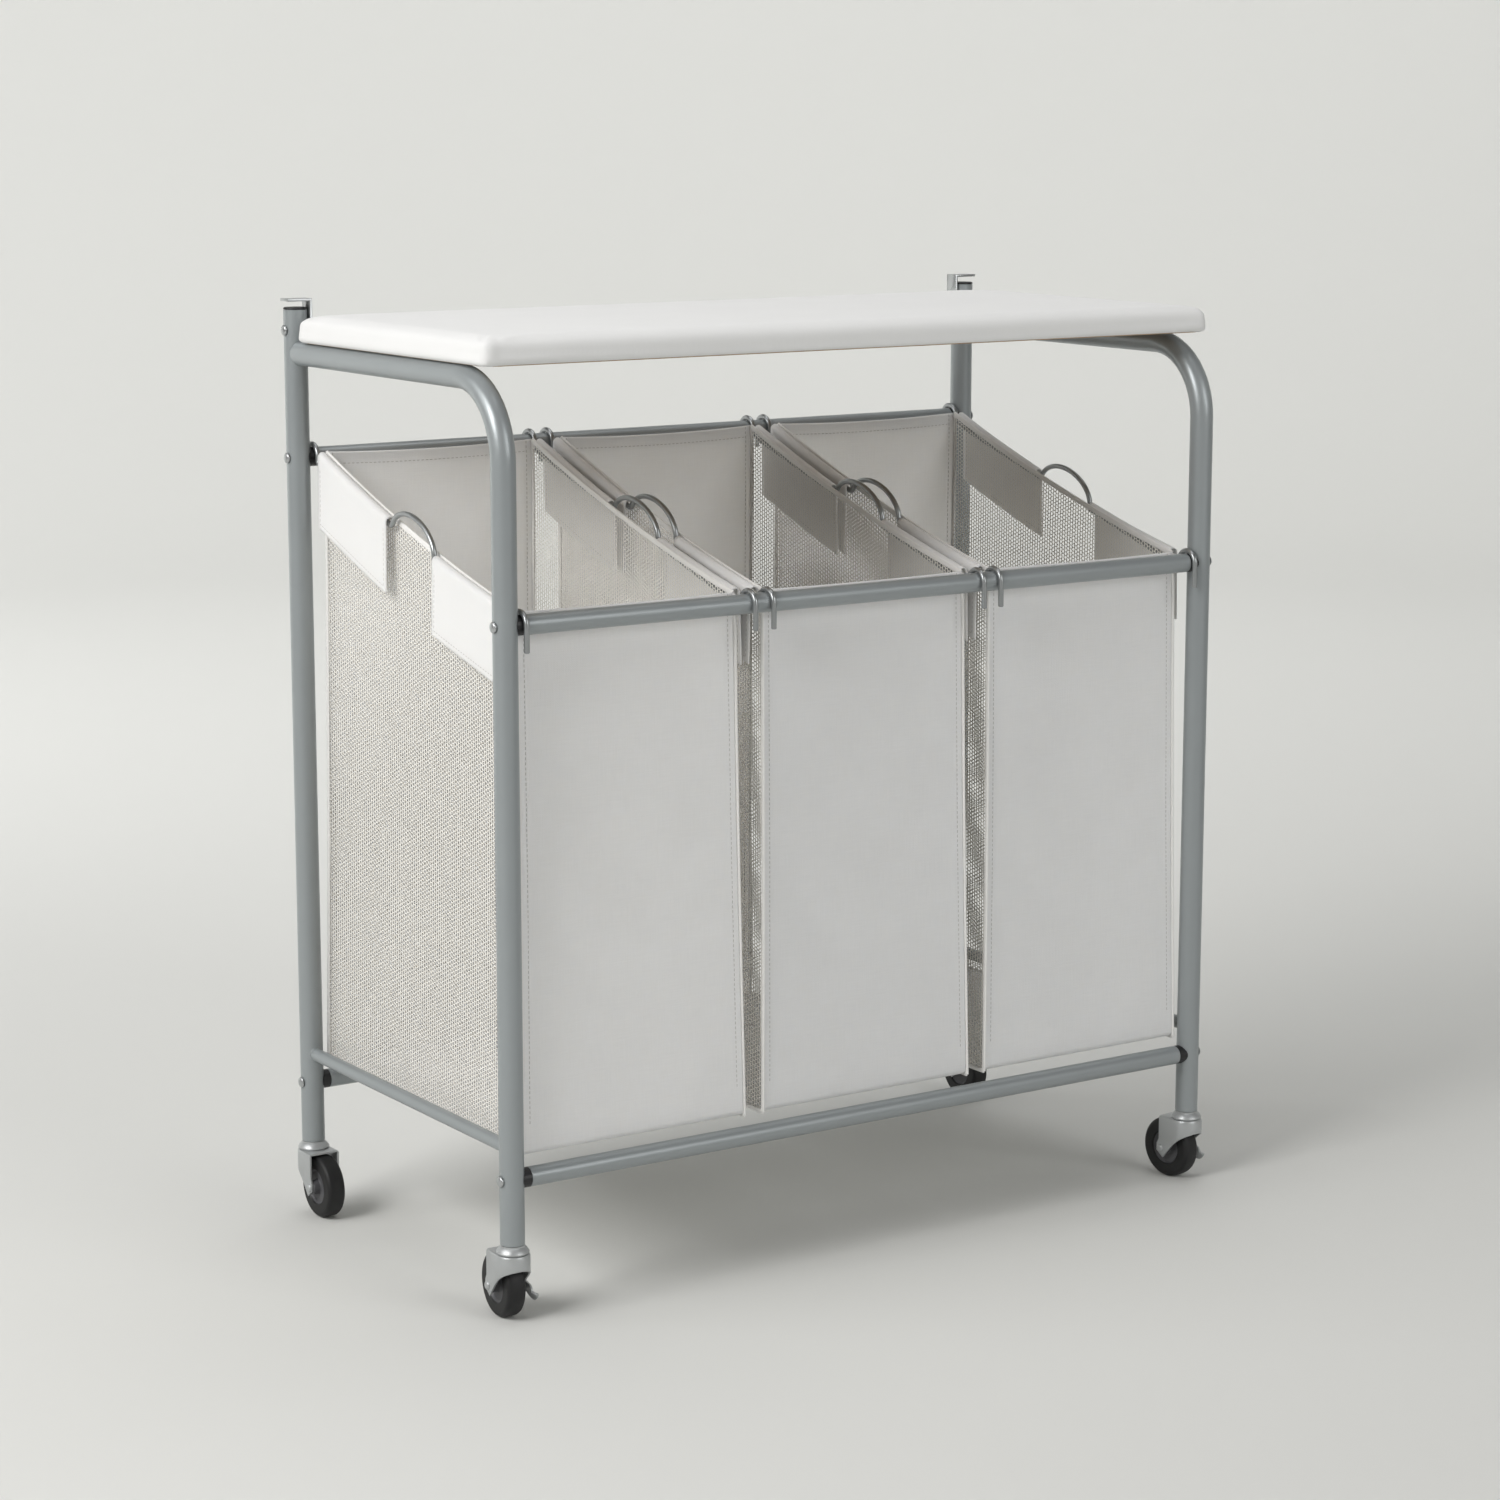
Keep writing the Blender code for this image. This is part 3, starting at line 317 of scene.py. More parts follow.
# ------------------------------------------------------------
# The four cross bars, thinner tube in the same paint. A black plastic spacer plugs each end and
# is hollowed to the post, and a screw with a domed head goes through the post into it.
# ------------------------------------------------------------
black_plastic = hard_finish("black_plastic", (0.010, 0.010, 0.011), 0.42, spread=0.15, tint=0.2, bump=0.05)
bright_zinc = hard_finish("bright_zinc", (0.46, 0.475, 0.48), 0.30, 0.85, spread=0.16, tint=0.08, bump=0.04)


def turned(profile, centre, axis, sides=40):
    """A turned piece: centre + h axis + r (cos a one + sin a other), for (r, h) along the profile."""
    axis = np.asarray(axis, float) / np.linalg.norm(axis)
    one = np.cross(axis, (0, 0, 1) if abs(axis[2]) < 0.9 else (1, 0, 0))
    one /= np.linalg.norm(one)
    other = np.cross(axis, one)
    a = 2 * np.pi * np.arange(sides) / sides
    ring = np.cos(a)[:, None] * one + np.sin(a)[:, None] * other
    r, h = np.asarray(profile, float).T
    return np.asarray(centre) + h[:, None, None] * axis + r[:, None, None] * ring


def domed_head(radius, height, shank, steps=8):
    """The profile of a screw: a shank, a flat under the head, and a quarter ellipse over it."""
    a = np.radians(np.linspace(0, 90, steps))
    dome = np.stack([radius * np.cos(a), height * (0.25 + 0.75 * np.sin(a))], -1)
    return np.concatenate([[(0, -shank), (0.003, -shank), (0.003, 0), (radius, 0)], dome])


BAR_RADIUS = 0.009
HEAD_HEIGHT = 0.0026
SCREW_HEAD = domed_head(0.0050, HEAD_HEIGHT, 0.030)


def cross_screw(name, bolt, sign):
    """A screw through a side frame, with its head outwards, in place of a CAD bolt; gives its seat."""
    low, high = box_of(bolt)
    seat = (low + high) / 2
    seat[0] = (high[0] if sign > 0 else low[0]) - sign * HEAD_HEIGHT
    screw = skin_piece(name, [turned(SCREW_HEAD, seat, (sign, 0, 0), 24)], bright_zinc)
    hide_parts(bolt)
    fit(screw, "frame")
    return seat, abs((low[0] if sign > 0 else high[0]) - seat[0])


for bar in ("lower_front", "lower_rear", "upper_front", "upper_rear"):
    low, high = box_of(f"{bar}_bar")
    middle = (low + high) / 2
    path = straight((low[0], middle[1], middle[2]), (high[0], middle[1], middle[2]), 3)
    tube = skin_piece(f"{bar}_bar_skin", [round_bar(path, (0, 1, 0), BAR_RADIUS, 40)], silver_paint)
    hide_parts(f"{bar}_bar")
    fit(tube, "frame")
    for side, sign in (("left", -1), ("right", 1)):
        spacer = nodes[f"{bar}_{side}_spacer"]
        spacer.data.materials.clear()
        spacer.data.materials.append(black_plastic)
        cross_screw(f"{bar}_{side}_screw", f"{bar}_{side}_bolt", sign)

# ------------------------------------------------------------
# Plastic caps that close the tops of the rear posts, pushed into the tube, with a rounded rim.
# ------------------------------------------------------------
CAP_WALL = 0.0016
CAP_PROFILE = [(0, -0.012), (TUBE_RADIUS - CAP_WALL, -0.012), (TUBE_RADIUS - CAP_WALL, -0.0018),
               (TUBE_RADIUS, -0.0017), (TUBE_RADIUS, -0.0010), (TUBE_RADIUS - 0.0003, -0.0004),
               (TUBE_RADIUS - 0.0010, 0), (0, 0.0001)]
for side in ("left", "right"):
    low, high = box_of(f"{side}_rear_post_cap")
    top = (*((low + high) / 2)[:2], high[2])
    cap = skin_piece(f"{side}_post_cap", [turned(CAP_PROFILE, top, (0, 0, 1), 48)], black_plastic)
    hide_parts(f"{side}_rear_post_cap")
    fit(cap, "frame")

# ------------------------------------------------------------
# Hinge brackets of the board, folded from zinc-plated strip, and the pivot bolts that they turn
# on. The strip keeps its CAD shape, with its edges eased.
# ------------------------------------------------------------


def ease_edges(node, width, material, angle=35.0):
    """Welds a CAD node's loose triangles and rounds its sharp edges by width."""
    node.data.materials.clear()
    node.data.materials.append(material)
    weld = node.modifiers.new("Weld", "WELD")
    weld.merge_threshold = 0.00002
    flat = node.modifiers.new("Flat faces", "DECIMATE")
    flat.decimate_type = "DISSOLVE"
    flat.angle_limit = np.radians(1.0)
    bevel = node.modifiers.new("Eased edges", "BEVEL")
    bevel.width = width
    bevel.segments = 2
    bevel.limit_method = "ANGLE"
    bevel.angle_limit = np.radians(angle)
    bevel.use_clamp_overlap = True
    bevel.harden_normals = False
    node.data.shade_smooth()
    node.data.set_sharp_from_angle(angle=np.radians(180))


for side, sign in (("left", -1), ("right", 1)):
    ease_edges(nodes[f"{side}_hinge_bracket"], 0.0004, bright_zinc)
    seat, reach = cross_screw(f"{side}_pivot_screw", f"{side}_pivot_bolt", sign)
    nut_profile = [(0.0031, -reach), (0.0044, -reach), (0.0050, 0.0006 - reach), (0.0050, 0.0030 - reach),
                   (0.0031, 0.0030 - reach), (0.0031, -reach)]
    nut = skin_piece(f"{side}_pivot_nut", [turned(nut_profile, seat, (sign, 0, 0), 6)], bright_zinc, 20)
    fit(nut, "frame")

# ------------------------------------------------------------
# The deck, a sheet of pressed fibre board that stiffens the top. Only its underside shows.
# ------------------------------------------------------------
fibre_board = hard_finish("fibre_board", (0.36, 0.25, 0.15), 0.75, spread=0.15, tint=0.35, grain=2500.0,
                          bump=0.15, blotch=90.0)
ease_edges(nodes["board_deck"], 0.0004, fibre_board)

# ------------------------------------------------------------
# The padded cover: white cotton over a thin layer of foam, pulled round the deck and hemmed
# underneath. A closed slab is blown up a little as cloth, so that its top crowns and its edge rolls.
# ------------------------------------------------------------
COVER_WHITE = (0.765, 0.765, 0.76)
PAD_CORNER, PAD_ROLL, PAD_INSET, PAD_SWELL = 0.007, 0.0066, 0.0008, 0.0012
PAD_VOXEL, PAD_PRESSURE, PAD_CAP, PAD_FRAMES = 0.0052, 4.0, 0.0025, 14
HEM_WIDTH, HEM_DROP, DECK_MIDDLE = 0.022, 0.0004, 0.0045
BASE_REACH, EDGE_REACH = 0.003, 0.0035


def weave_group():
    """Plain weave: threads one way and the other, as two sine bands, with slubs from stretched noise."""
    takes = [("Vector", "Vector"), ("Colour", "Color")]
    takes += [(name, "Float") for name in ("Threads per Metre", "Slub", "Shade Spread")]
    group, given, out = open_group("plain_weave", takes, [("Colour", "Color"), ("Height", "Float")])
    add, link = group.nodes.new, group.links.new

    def math(operation, *values):
        return calculate(group, operation, *values)

    split = add("ShaderNodeSeparateXYZ")
    link(given["Vector"], split.inputs[0])
    turn = math("MULTIPLY", given["Threads per Metre"], 2 * np.pi)
    warp = math("SINE", math("MULTIPLY", split.outputs[0], turn))
    weft = math("SINE", math("MULTIPLY", split.outputs[1], turn))
    crossing = math("MULTIPLY", warp, weft)
    streaks = []
    for stretch in ((900.0, 40.0, 40.0), (40.0, 900.0, 900.0)):
        scaled = add("ShaderNodeVectorMath")
        scaled.operation = "MULTIPLY"
        scaled.inputs[1].default_value = stretch
        link(given["Vector"], scaled.inputs[0])
        noise = add("ShaderNodeTexNoise")
        set_inputs(noise, Scale=1.0, Detail=2.0)
        link(scaled.outputs[0], noise.inputs["Vector"])
        streaks.append(noise.outputs["Fac"])
    slub = math("MULTIPLY", math("SUBTRACT", math("ADD", *streaks), 1.0), given["Slub"])
    height = math("ADD", math("MULTIPLY", crossing, 0.35), math("MULTIPLY", slub, 3.0))
    blotch = add("ShaderNodeTexNoise")
    set_inputs(blotch, Scale=14.0, Detail=3.0)
    link(given["Vector"], blotch.inputs["Vector"])
    soft = math("SUBTRACT", blotch.outputs["Fac"], 0.5)
    mottle = math("ADD", soft, math("MULTIPLY", slub, 2.2))
    shade = math("ADD", math("MULTIPLY", mottle, given["Shade Spread"]), 1.0)
    link(shaded(group, given["Colour"], shade), out["Colour"])
    link(height, out["Height"])
    return group


PLAIN_WEAVE = weave_group()


def cloth_finish(name, colour, threads, slub=0.3, shade=0.08, bump=0.25, coords="UV", glow=0.0):
    """Woven cloth: the plain weave's threads in its bump and colour, and a dusty sheen.

    glow is the share of light that goes into the cloth, so that some comes out at its far side.
    """
    material, tree, weave = new_material(name, PLAIN_WEAVE)
    set_inputs(tree.nodes["Principled BSDF"], Roughness=0.92, Sheen_Weight=0.2, Sheen_Roughness=0.6,
               Specular_IOR_Level=0.2, Subsurface_Weight=glow, Subsurface_Radius=(1.0, 0.95, 0.88),
               Subsurface_Scale=0.004)
    set_inputs(weave, Threads_per_Metre=threads, Slub=slub, Colour=(*colour, 1.0), Shade_Spread=shade)
    place = tree.nodes.new("ShaderNodeTexCoord")
    tree.links.new(place.outputs[coords], weave.inputs["Vector"])
    add_relief(tree, weave.outputs["Height"], bump, 0.0004)
    return material


cover_cotton = cloth_finish("cover_cotton", COVER_WHITE, 800.0, slub=0.15, shade=0.04, bump=0.15,
                            coords="Object")
pad_low, pad_high = box_of("board_pad")


def slab_ring(inset, z, corner, steps=10):
    """A rectangle with round corners at height z, inset from the pad's box, as one ring of points."""
    radius = max(corner - inset, 0.002)
    corners = []
    for k, (x, y) in enumerate(((1, 1), (0, 1), (0, 0), (1, 0))):
        middle = (
            (pad_high[0] - inset - radius) if x else (pad_low[0] + inset + radius),
            (pad_high[1] - inset - radius) if y else (pad_low[1] + inset + radius),
            z,
        )
        corners.append(arc(middle, (radius, 0, 0), (0, radius, 0), 90 * k, 90 * k + 90, steps))
    return np.concatenate(corners)


def pad_slab():
    """The cover's rest shape: a flat base, a short upright edge and a quarter-round top edge."""
    base, top = pad_low[2], pad_high[2] - PAD_SWELL
    a = np.radians(np.linspace(0, 90, 6))
    rows = [(HEM_WIDTH + 0.004, base), (HEM_WIDTH - 0.002, base), (0.004, base)]
    rows += [(PAD_INSET, base + 0.0004), (PAD_INSET, base + 0.003)]
    rows += [(PAD_INSET + PAD_ROLL * (1 - np.cos(t)), top - PAD_ROLL * (1 - np.sin(t))) for t in a]
    rings = [slab_ring(inset, z, PAD_CORNER) for inset, z in rows]
    middle = np.array([0, (pad_low[1] + pad_high[1]) / 2, 0])
    under = np.broadcast_to(middle + [0, 0, base], rings[0].shape)
    over = np.broadcast_to(middle + [0, 0, top], rings[0].shape)
    return np.stack([under, *rings, over])


board_cover = skin_piece("board_cover", [pad_slab()], cover_cotton)


def points_of(mesh):
    """A mesh's points as an array."""
    points = np.empty(len(mesh.vertices) * 3)
    mesh.vertices.foreach_get("co", points)
    return points.reshape(-1, 3)


def move_points(mesh, points):
    """Puts a mesh's points at new places."""
    mesh.vertices.foreach_set("co", points.ravel())
    mesh.update()


def blow_up(piece, voxel, pressure, cap, frames, held_below):
    """Remeshes a closed piece, inflates it as cloth and keeps the result.

    Points under the height held_below stay, and no point moves further than cap.
    """
    bpy.context.view_layer.objects.active = piece
    remesh = piece.modifiers.new("Remesh", "REMESH")
    remesh.mode = "VOXEL"
    remesh.voxel_size = voxel
    depsgraph = bpy.context.evaluated_depsgraph_get()
    piece.data = bpy.data.meshes.new_from_object(piece.evaluated_get(depsgraph))
    piece.modifiers.clear()
    start = points_of(piece.data)
    pins = piece.vertex_groups.new(name="pins")
    pins.add(np.flatnonzero(start[:, 2] < held_below).tolist(), 1.0, "REPLACE")
    cloth = piece.modifiers.new("Cloth", "CLOTH")
    cloth.settings.vertex_group_mass = "pins"
    cloth.settings.use_pressure = True
    cloth.settings.uniform_pressure_force = pressure
    cloth.settings.effector_weights.gravity = 0
    cloth.settings.quality = 4
    cloth.settings.tension_stiffness = 30
    cloth.settings.compression_stiffness = 30
    cloth.point_cache.frame_start = 1
    cloth.point_cache.frame_end = frames
    for number in range(1, frames + 1):
        bpy.context.scene.frame_set(number)
    depsgraph = bpy.context.evaluated_depsgraph_get()
    blown = bpy.data.meshes.new_from_object(piece.evaluated_get(depsgraph))
    step = points_of(blown) - start
    bpy.data.meshes.remove(blown)
    length = np.linalg.norm(step, axis=1, keepdims=True)
    step *= np.minimum(1.0, cap / np.maximum(length, 1e-9))
    piece.modifiers.clear()
    move_points(piece.data, start + step)
    bpy.context.scene.frame_set(1)


def tuck_hem(piece):
    """Sets the flat base: the hem lies just under the deck, and the rest is hidden inside the deck."""
    points = points_of(piece.data)
    inset = np.minimum(points - pad_low, pad_high - points)[:, :2].min(axis=1)
    flat = (points[:, 2] < pad_low[2] + BASE_REACH) & (inset > EDGE_REACH)
    rise = np.where(inset < HEM_WIDTH, -HEM_DROP, DECK_MIDDLE)
    points[flat, 2] = pad_low[2] + rise[flat]
    move_points(piece.data, points)


blow_up(board_cover, PAD_VOXEL, PAD_PRESSURE, PAD_CAP, PAD_FRAMES, pad_low[2] + 0.004)
tuck_hem(board_cover)
board_cover.data.materials.clear()
board_cover.data.materials.append(cover_cotton)
board_cover.data.shade_smooth()
smoother = board_cover.modifiers.new("Smooth", "SUBSURF")
smoother.levels = smoother.render_levels = 1
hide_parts("board_pad")
fit(board_cover, "board")

# ------------------------------------------------------------
# Hanger rods: 5 mm zinc-plated wire. Each hooks over the front and the rear bar, slopes between
# them, and rises in the middle in an arch that is the bag's handle.
# ------------------------------------------------------------
WIRE_RADIUS = 0.0025
ROD_BELOW_RIM = 0.0125
FRONT_FOOT_Y, REAR_FOOT_Y = -0.042, 0.036
HANDLE_RISE = 0.024
HOOK_PLAY = 0.0003
wire_zinc = hard_finish("wire_zinc", (0.36, 0.375, 0.38), 0.32, 0.8, spread=0.15, tint=0.08, bump=0.04)
front_bar, rear_bar = centre_of("upper_front_bar"), centre_of("upper_rear_bar")
rim_front = np.array([-0.1765, front_bar[2] + 0.009])
rim_rear = np.array([0.1765, rear_bar[2] + 0.0055])
RIM_SLOPE = (rim_rear[1] - rim_front[1]) / (rim_rear[0] - rim_front[0])


def straight_rim(y):
    """Height of the straight line between a bag's front and rear rim corners."""
    return rim_front[1] + RIM_SLOPE * (y - rim_front[0])


def fillet(before, corner, after, radius, count=7):
    """An arc of that radius that meets both lines through the corner, as points."""
    before, corner, after = (np.asarray(p, float) for p in (before, corner, after))
    back, ahead = before - corner, after - corner
    back /= np.linalg.norm(back)
    ahead /= np.linalg.norm(ahead)
    half = np.arccos(np.clip(back @ ahead, -1, 1)) / 2
    centre = corner + (back + ahead) / np.linalg.norm(back + ahead) * radius / np.sin(half)
    first = corner + back * radius / np.tan(half) - centre
    last = corner + ahead * radius / np.tan(half) - centre
    turn = np.pi - 2 * half
    share = np.linspace(0, 1, count)[:, None]
    return centre + (first * np.sin((1 - share) * turn) + last * np.sin(share * turn)) / np.sin(turn)


def rod_route(x):
    """The wire's centre line: leg, hook, slope, arch, slope, hook, leg, all in one upright plane."""
    hook = BAR_RADIUS + HOOK_PLAY + WIRE_RADIUS
    front_top, rear_top = front_bar[2], rear_bar[2]
    front_y, rear_y = front_bar[1], rear_bar[1]

    def on_slope(y):
        return np.array([x, y, straight_rim(y) - ROD_BELOW_RIM])

    front_corner, rear_corner = on_slope(front_y + hook), on_slope(rear_y - hook)
    front_foot, rear_foot = on_slope(FRONT_FOOT_Y), on_slope(REAR_FOOT_Y)
    chord = (rear_foot - front_foot) / 2
    half = np.linalg.norm(chord)
    rise = np.cross([1, 0, 0], chord / half) * HANDLE_RISE
    a = np.radians(np.linspace(172, 8, 25))[:, None]
    arch = (front_foot + rear_foot) / 2 + np.cos(a) * chord + np.sin(a) * rise
    return np.concatenate([
        straight((x, front_y - hook, front_top - 0.023), (x, front_y - hook, front_top - 0.001), 2),
        arc((x, front_y, front_top), (0, -hook, 0), (0, 0, hook), 0, 180, 15),
        fillet((x, front_y + hook, front_top), front_corner, front_foot, 0.0034),
        fillet(front_corner, front_foot, arch[0] + (0, 0, 0.0005), 0.004),
        arch,
        fillet(arch[-1] + (0, 0, 0.0005), rear_foot, rear_corner, 0.004),
        fillet(rear_foot, rear_corner, (x, rear_y - hook, rear_top), 0.0034),
        arc((x, rear_y, rear_top), (0, -hook, 0), (0, 0, hook), 0, 180, 15),
        straight((x, rear_y + hook, rear_top - 0.001), (x, rear_y + hook, rear_top - 0.020), 2),
    ])


BAGS = ("left", "middle", "right")
for bag in BAGS:
    for side in ("left", "right"):
        name = f"{bag}_bag_{side}_rod"
        route = rod_route(centre_of(name)[0])
        wire = skin_piece(f"{name}_wire", [round_bar(route, (1, 0, 0), WIRE_RADIUS, 16, 0.0006)], wire_zinc)
        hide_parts(name)
        fit(wire, f"{bag}_bag")

# ------------------------------------------------------------
# Bag canvas. One strip of natural cotton canvas makes the back, the floor and the front of each
# bag, with a hem folded over and sewn at both ends. It hangs between the two rods.
# ------------------------------------------------------------
CANVAS = (0.82, 0.815, 0.81)
SHEET = 0.0011
RIM_HALF_WIDTH, BASE_HALF_WIDTH = 0.1110, 0.1160
BASE_HALF_DEPTH = 0.1865
RIM_SAG = 0.0075
canvas = cloth_finish("canvas", CANVAS, 620.0, slub=0.28, shade=0.10, bump=0.30, glow=0.8)
base_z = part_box("left_bag")[0].z + SHEET / 2
middle_rim_z = (rim_front[1] + rim_rear[1]) / 2


def share_down(z):
    """How far down a bag a height lies: 0 at the middle height of the rim and 1 at the base."""
    return (middle_rim_z - z) / (middle_rim_z - base_z)


def half_width(z):
    """Half the bag's width at height z, drawn in a little between the rim and the base."""
    share = share_down(z)
    drawn_in = 0.0012 * np.sin(np.pi * np.clip(share, 0, 1))
    return RIM_HALF_WIDTH + (BASE_HALF_WIDTH - RIM_HALF_WIDTH) * share - drawn_in


def half_depth(z):
    """Half the bag's depth at height z."""
    share = share_down(z)
    return rim_rear[0] + (BASE_HALF_DEPTH - rim_rear[0]) * np.clip(share, -0.1, 1)


def ripple(across, down, seed):
    """Slow folds in hanging cloth: three sine waves of unlike length, each with its own phase."""
    phase = np.random.default_rng(seed).uniform(0, 2 * np.pi, 6)
    broad = np.sin(2 * np.pi * across / 0.21 + 1.3 * down / 0.3 + phase[0])
    return (
        0.45 * broad * np.sin(np.pi * down / 0.55 + phase[1])
        + 0.30 * np.sin(2 * np.pi * across / 0.115 + phase[2] + down / 0.11)
        + 0.25 * np.sin(2 * np.pi * down / 0.19 + phase[3] + across / 0.07)
    )


def hanging_sheet(name, points, lengths, material, thickness=SHEET):
    """A sheet of cloth from a grid of points, with a texture map in metres from its two lengths."""
    rows, columns = points.shape[:2]
    mesh = bpy.data.meshes.new(name)
    row, column = np.meshgrid(np.arange(rows - 1), np.arange(columns - 1), indexing="ij")
    a = (row * columns + column).ravel()
    faces = np.stack([a, a + 1, a + 1 + columns, a + columns], -1)
    mesh.from_pydata(points.reshape(-1, 3), [], faces.tolist())
    layer = mesh.uv_layers.new(name="UVMap")
    layer.data.foreach_set("uv", lengths.reshape(-1, 2)[faces].astype(np.float32).ravel())
    mesh.shade_smooth()
    mesh.materials.append(material)
    piece = bpy.data.objects.new(name, mesh)
    bpy.context.scene.collection.objects.link(piece)
    cloth = piece.modifiers.new("Cloth thickness", "SOLIDIFY")
    cloth.thickness = thickness
    cloth.offset = 0.0
    return piece


def strip_line():
    """The strip's side view as (y, z): down the back, round a small bend, along the floor, up the front."""
    bend = 0.006
    depth = BASE_HALF_DEPTH
    rear_top, front_top = np.array(rim_rear), np.array(rim_front)
    rear_foot, front_foot = np.array([depth, base_z + bend]), np.array([-depth, base_z + bend])
    rear_hem = rear_top + (rear_foot - rear_top) * 0.045
    front_hem = front_top + (front_foot - front_top) * 0.055
    path = np.concatenate([
        straight(rear_top, rear_hem, 20),
        straight(rear_hem, rear_foot, 52)[1:],
        arc((depth - bend, base_z + bend), (bend, 0), (0, bend), 0, -90, 7)[1:],
        straight((depth - bend, base_z), (-depth + bend, base_z), 36)[1:],
        arc((-depth + bend, base_z + bend), (bend, 0), (0, bend), -90, -180, 7)[1:],
        straight(front_foot, front_hem, 44)[1:],
        straight(front_hem, front_top, 20)[1:],
    ])
    step = np.linalg.norm(np.diff(path, axis=0), axis=1)
    return path, np.concatenate([[0], np.cumsum(step)])


def fold_step(distance, width, height, crease=0.0005):
    """A folded edge: height within width of the edge, falling off smoothly, with a crease at its seam."""
    step = height / (1 + np.exp((distance - width) / crease))
    return step - 0.6 * height * np.exp(-(((distance - width + 0.0016) / 0.0009) ** 2))


def canvas_strip(middle_x, seed):
    """The strip's points: the side view carried across the width, with sag, hems and slow folds.

    Back and front bow in by a parabola across the width, the floor sinks by one, and the rim at
    the back dips by one. The ends are hemmed 12 mm wide and the long edges 8 mm wide.
    """
    line, run = strip_line()
    near = np.array([0, 2, 4, 5.4, 6.4, 7.2, 7.8, 8.4, 9.2, 11, 15, 22]) * 1e-3 / RIM_HALF_WIDTH
    u = np.concatenate([-1 + near, np.linspace(-0.75, 0.75, 31), (1 - near)[::-1]])[None, :]
    y, z = line[:, :1], line[:, 1:]
    x = half_width(z) * u
    upright = np.clip((z - base_z) / 0.03, 0, 1)
    crown = 1 - u**2
    height = np.where(y > 0, rim_rear[1], rim_front[1]) - base_z
    hang = np.clip((z - base_z) / height, 0, 1)
    fade = np.sqrt(crown) * (1 - hang**6)
    bow = 0.0030 * crown * np.sin(np.pi * hang) + 0.0013 * ripple(x, z, seed) * fade
    near_end = np.minimum(run, run[-1] - run)[:, None]
    hem = fold_step(near_end, 0.0120, 0.0006) + fold_step((1 - np.abs(u)) * half_width(z), 0.0080, 0.0005)
    out_y = y + np.sign(y) * (hem - bow) * upright
    dip = 0.0028 * crown * hang**8 * (y > 0) + 0.0010 * crown * hang**8 * (y < 0)
    level = (1 - upright) * np.clip(1 - (y / 0.187) ** 2, 0, 1)
    sunk = (0.0020 * crown + 0.0006 * ripple(x, y, seed + 50)) * level
    out_z = z - dip - sunk
    points = np.stack([middle_x + x + 0 * y, out_y + 0 * x, out_z + 0 * x], -1)
    lengths = np.stack([x + 0 * y, run[:, None] + 0 * x], -1)
    return points, lengths, run[-1]


STITCH_PITCH, STITCH_LENGTH, THREAD_RADIUS = 0.0045, 0.0031, 0.00030
STITCH_LIFT = 0.0006
HEM_SEAM, BACK_SEAM, FRONT_SEAM, SEAM_COLUMN = 0.0105, 0.575, 0.465, 4
sewing_thread = hard_finish("sewing_thread", (0.50, 0.485, 0.46), 0.8, spread=0.1, tint=0.15, grain=4000.0,
                            bump=0.2)


def stitch_line(route, outward, lift):
    """Stitches along a route: ellipsoids end to end, half sunk in the cloth, as one stack of grids.

    A point is centre + half length cos(b) along + radius sin(b) (cos(a) outward + 1.3 sin(a) across).
    """
    step = np.linalg.norm(np.diff(route, axis=0), axis=1)
    run = np.concatenate([[0], np.cumsum(step)])
    count = max(int(run[-1] / STITCH_PITCH), 1)
    middle = (np.arange(count) + 0.5) * run[-1] / count

    def at(distance):
        return np.stack([np.interp(distance, run, route[:, k]) for k in range(3)], -1)

    way = at(middle + 0.001) - at(middle - 0.001)
    way /= np.linalg.norm(way, axis=1, keepdims=True)
    out = np.asarray(outward, float) - (way @ np.asarray(outward, float))[:, None] * way
    out /= np.linalg.norm(out, axis=1, keepdims=True)
    across = np.cross(way, out)
    a = np.radians(np.arange(0, 360, 60))
    b = np.radians(np.array([0, 50, 130, 180]))
    ring = np.cos(a)[:, None] * out[:, None] + 1.3 * np.sin(a)[:, None] * across[:, None]
    bulge = THREAD_RADIUS * np.sin(b)[None, :, None, None] * ring[:, None]
    reach = STITCH_LENGTH / 2 * np.cos(b)[None, :, None, None] * way[:, None, None]
    return (at(middle) + lift * out)[:, None, None] + reach + bulge


def sew(name, routes, body):
    """One piece of sewing thread from (route, outward) pairs, with stitches on both faces of the cloth."""
    lifts = (STITCH_LIFT, -STITCH_LIFT)
    stacks = [stitch_line(route, outward, lift) for route, outward in routes for lift in lifts]
    thread = skin_piece(name, np.concatenate(stacks), sewing_thread, 80)
    fit(thread, body)


for seed, bag in enumerate(BAGS):
    points, lengths, strip_length = canvas_strip(centre_of(f"{bag}_bag")[0], seed)
    piece = hanging_sheet(f"{bag}_bag_canvas", points, lengths, canvas)
    fit(piece, f"{bag}_bag")
    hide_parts(f"{bag}_bag")
    run = lengths[:, 0, 1]
    seams = []
    for part, seam_run, way in (
        (points[run < BACK_SEAM], HEM_SEAM, (0, 1, 0)),
        (points[run > run[-1] - FRONT_SEAM], run[-1] - HEM_SEAM, (0, -1, 0)),
    ):
        hem = points[np.argmin(np.abs(run - seam_run)), SEAM_COLUMN + 1:-SEAM_COLUMN - 1]
        seams += [(route, way) for route in (hem, part[:, SEAM_COLUMN], part[:, -SEAM_COLUMN - 1])]
    sew(f"{bag}_bag_seams", seams, f"{bag}_bag")

# ------------------------------------------------------------
# Mesh sides. Open knitted polyester net, cut to the bag's side, so that the washing can air. It is
# sewn to the canvas strip at both upright edges and along the floor.
# ------------------------------------------------------------
NET_PITCH, NET_COLUMN = 0.0038, 0.0040
NET_HOLE = (0.175, 0.200)
NET_COLOUR = (0.85, 0.83, 0.78)


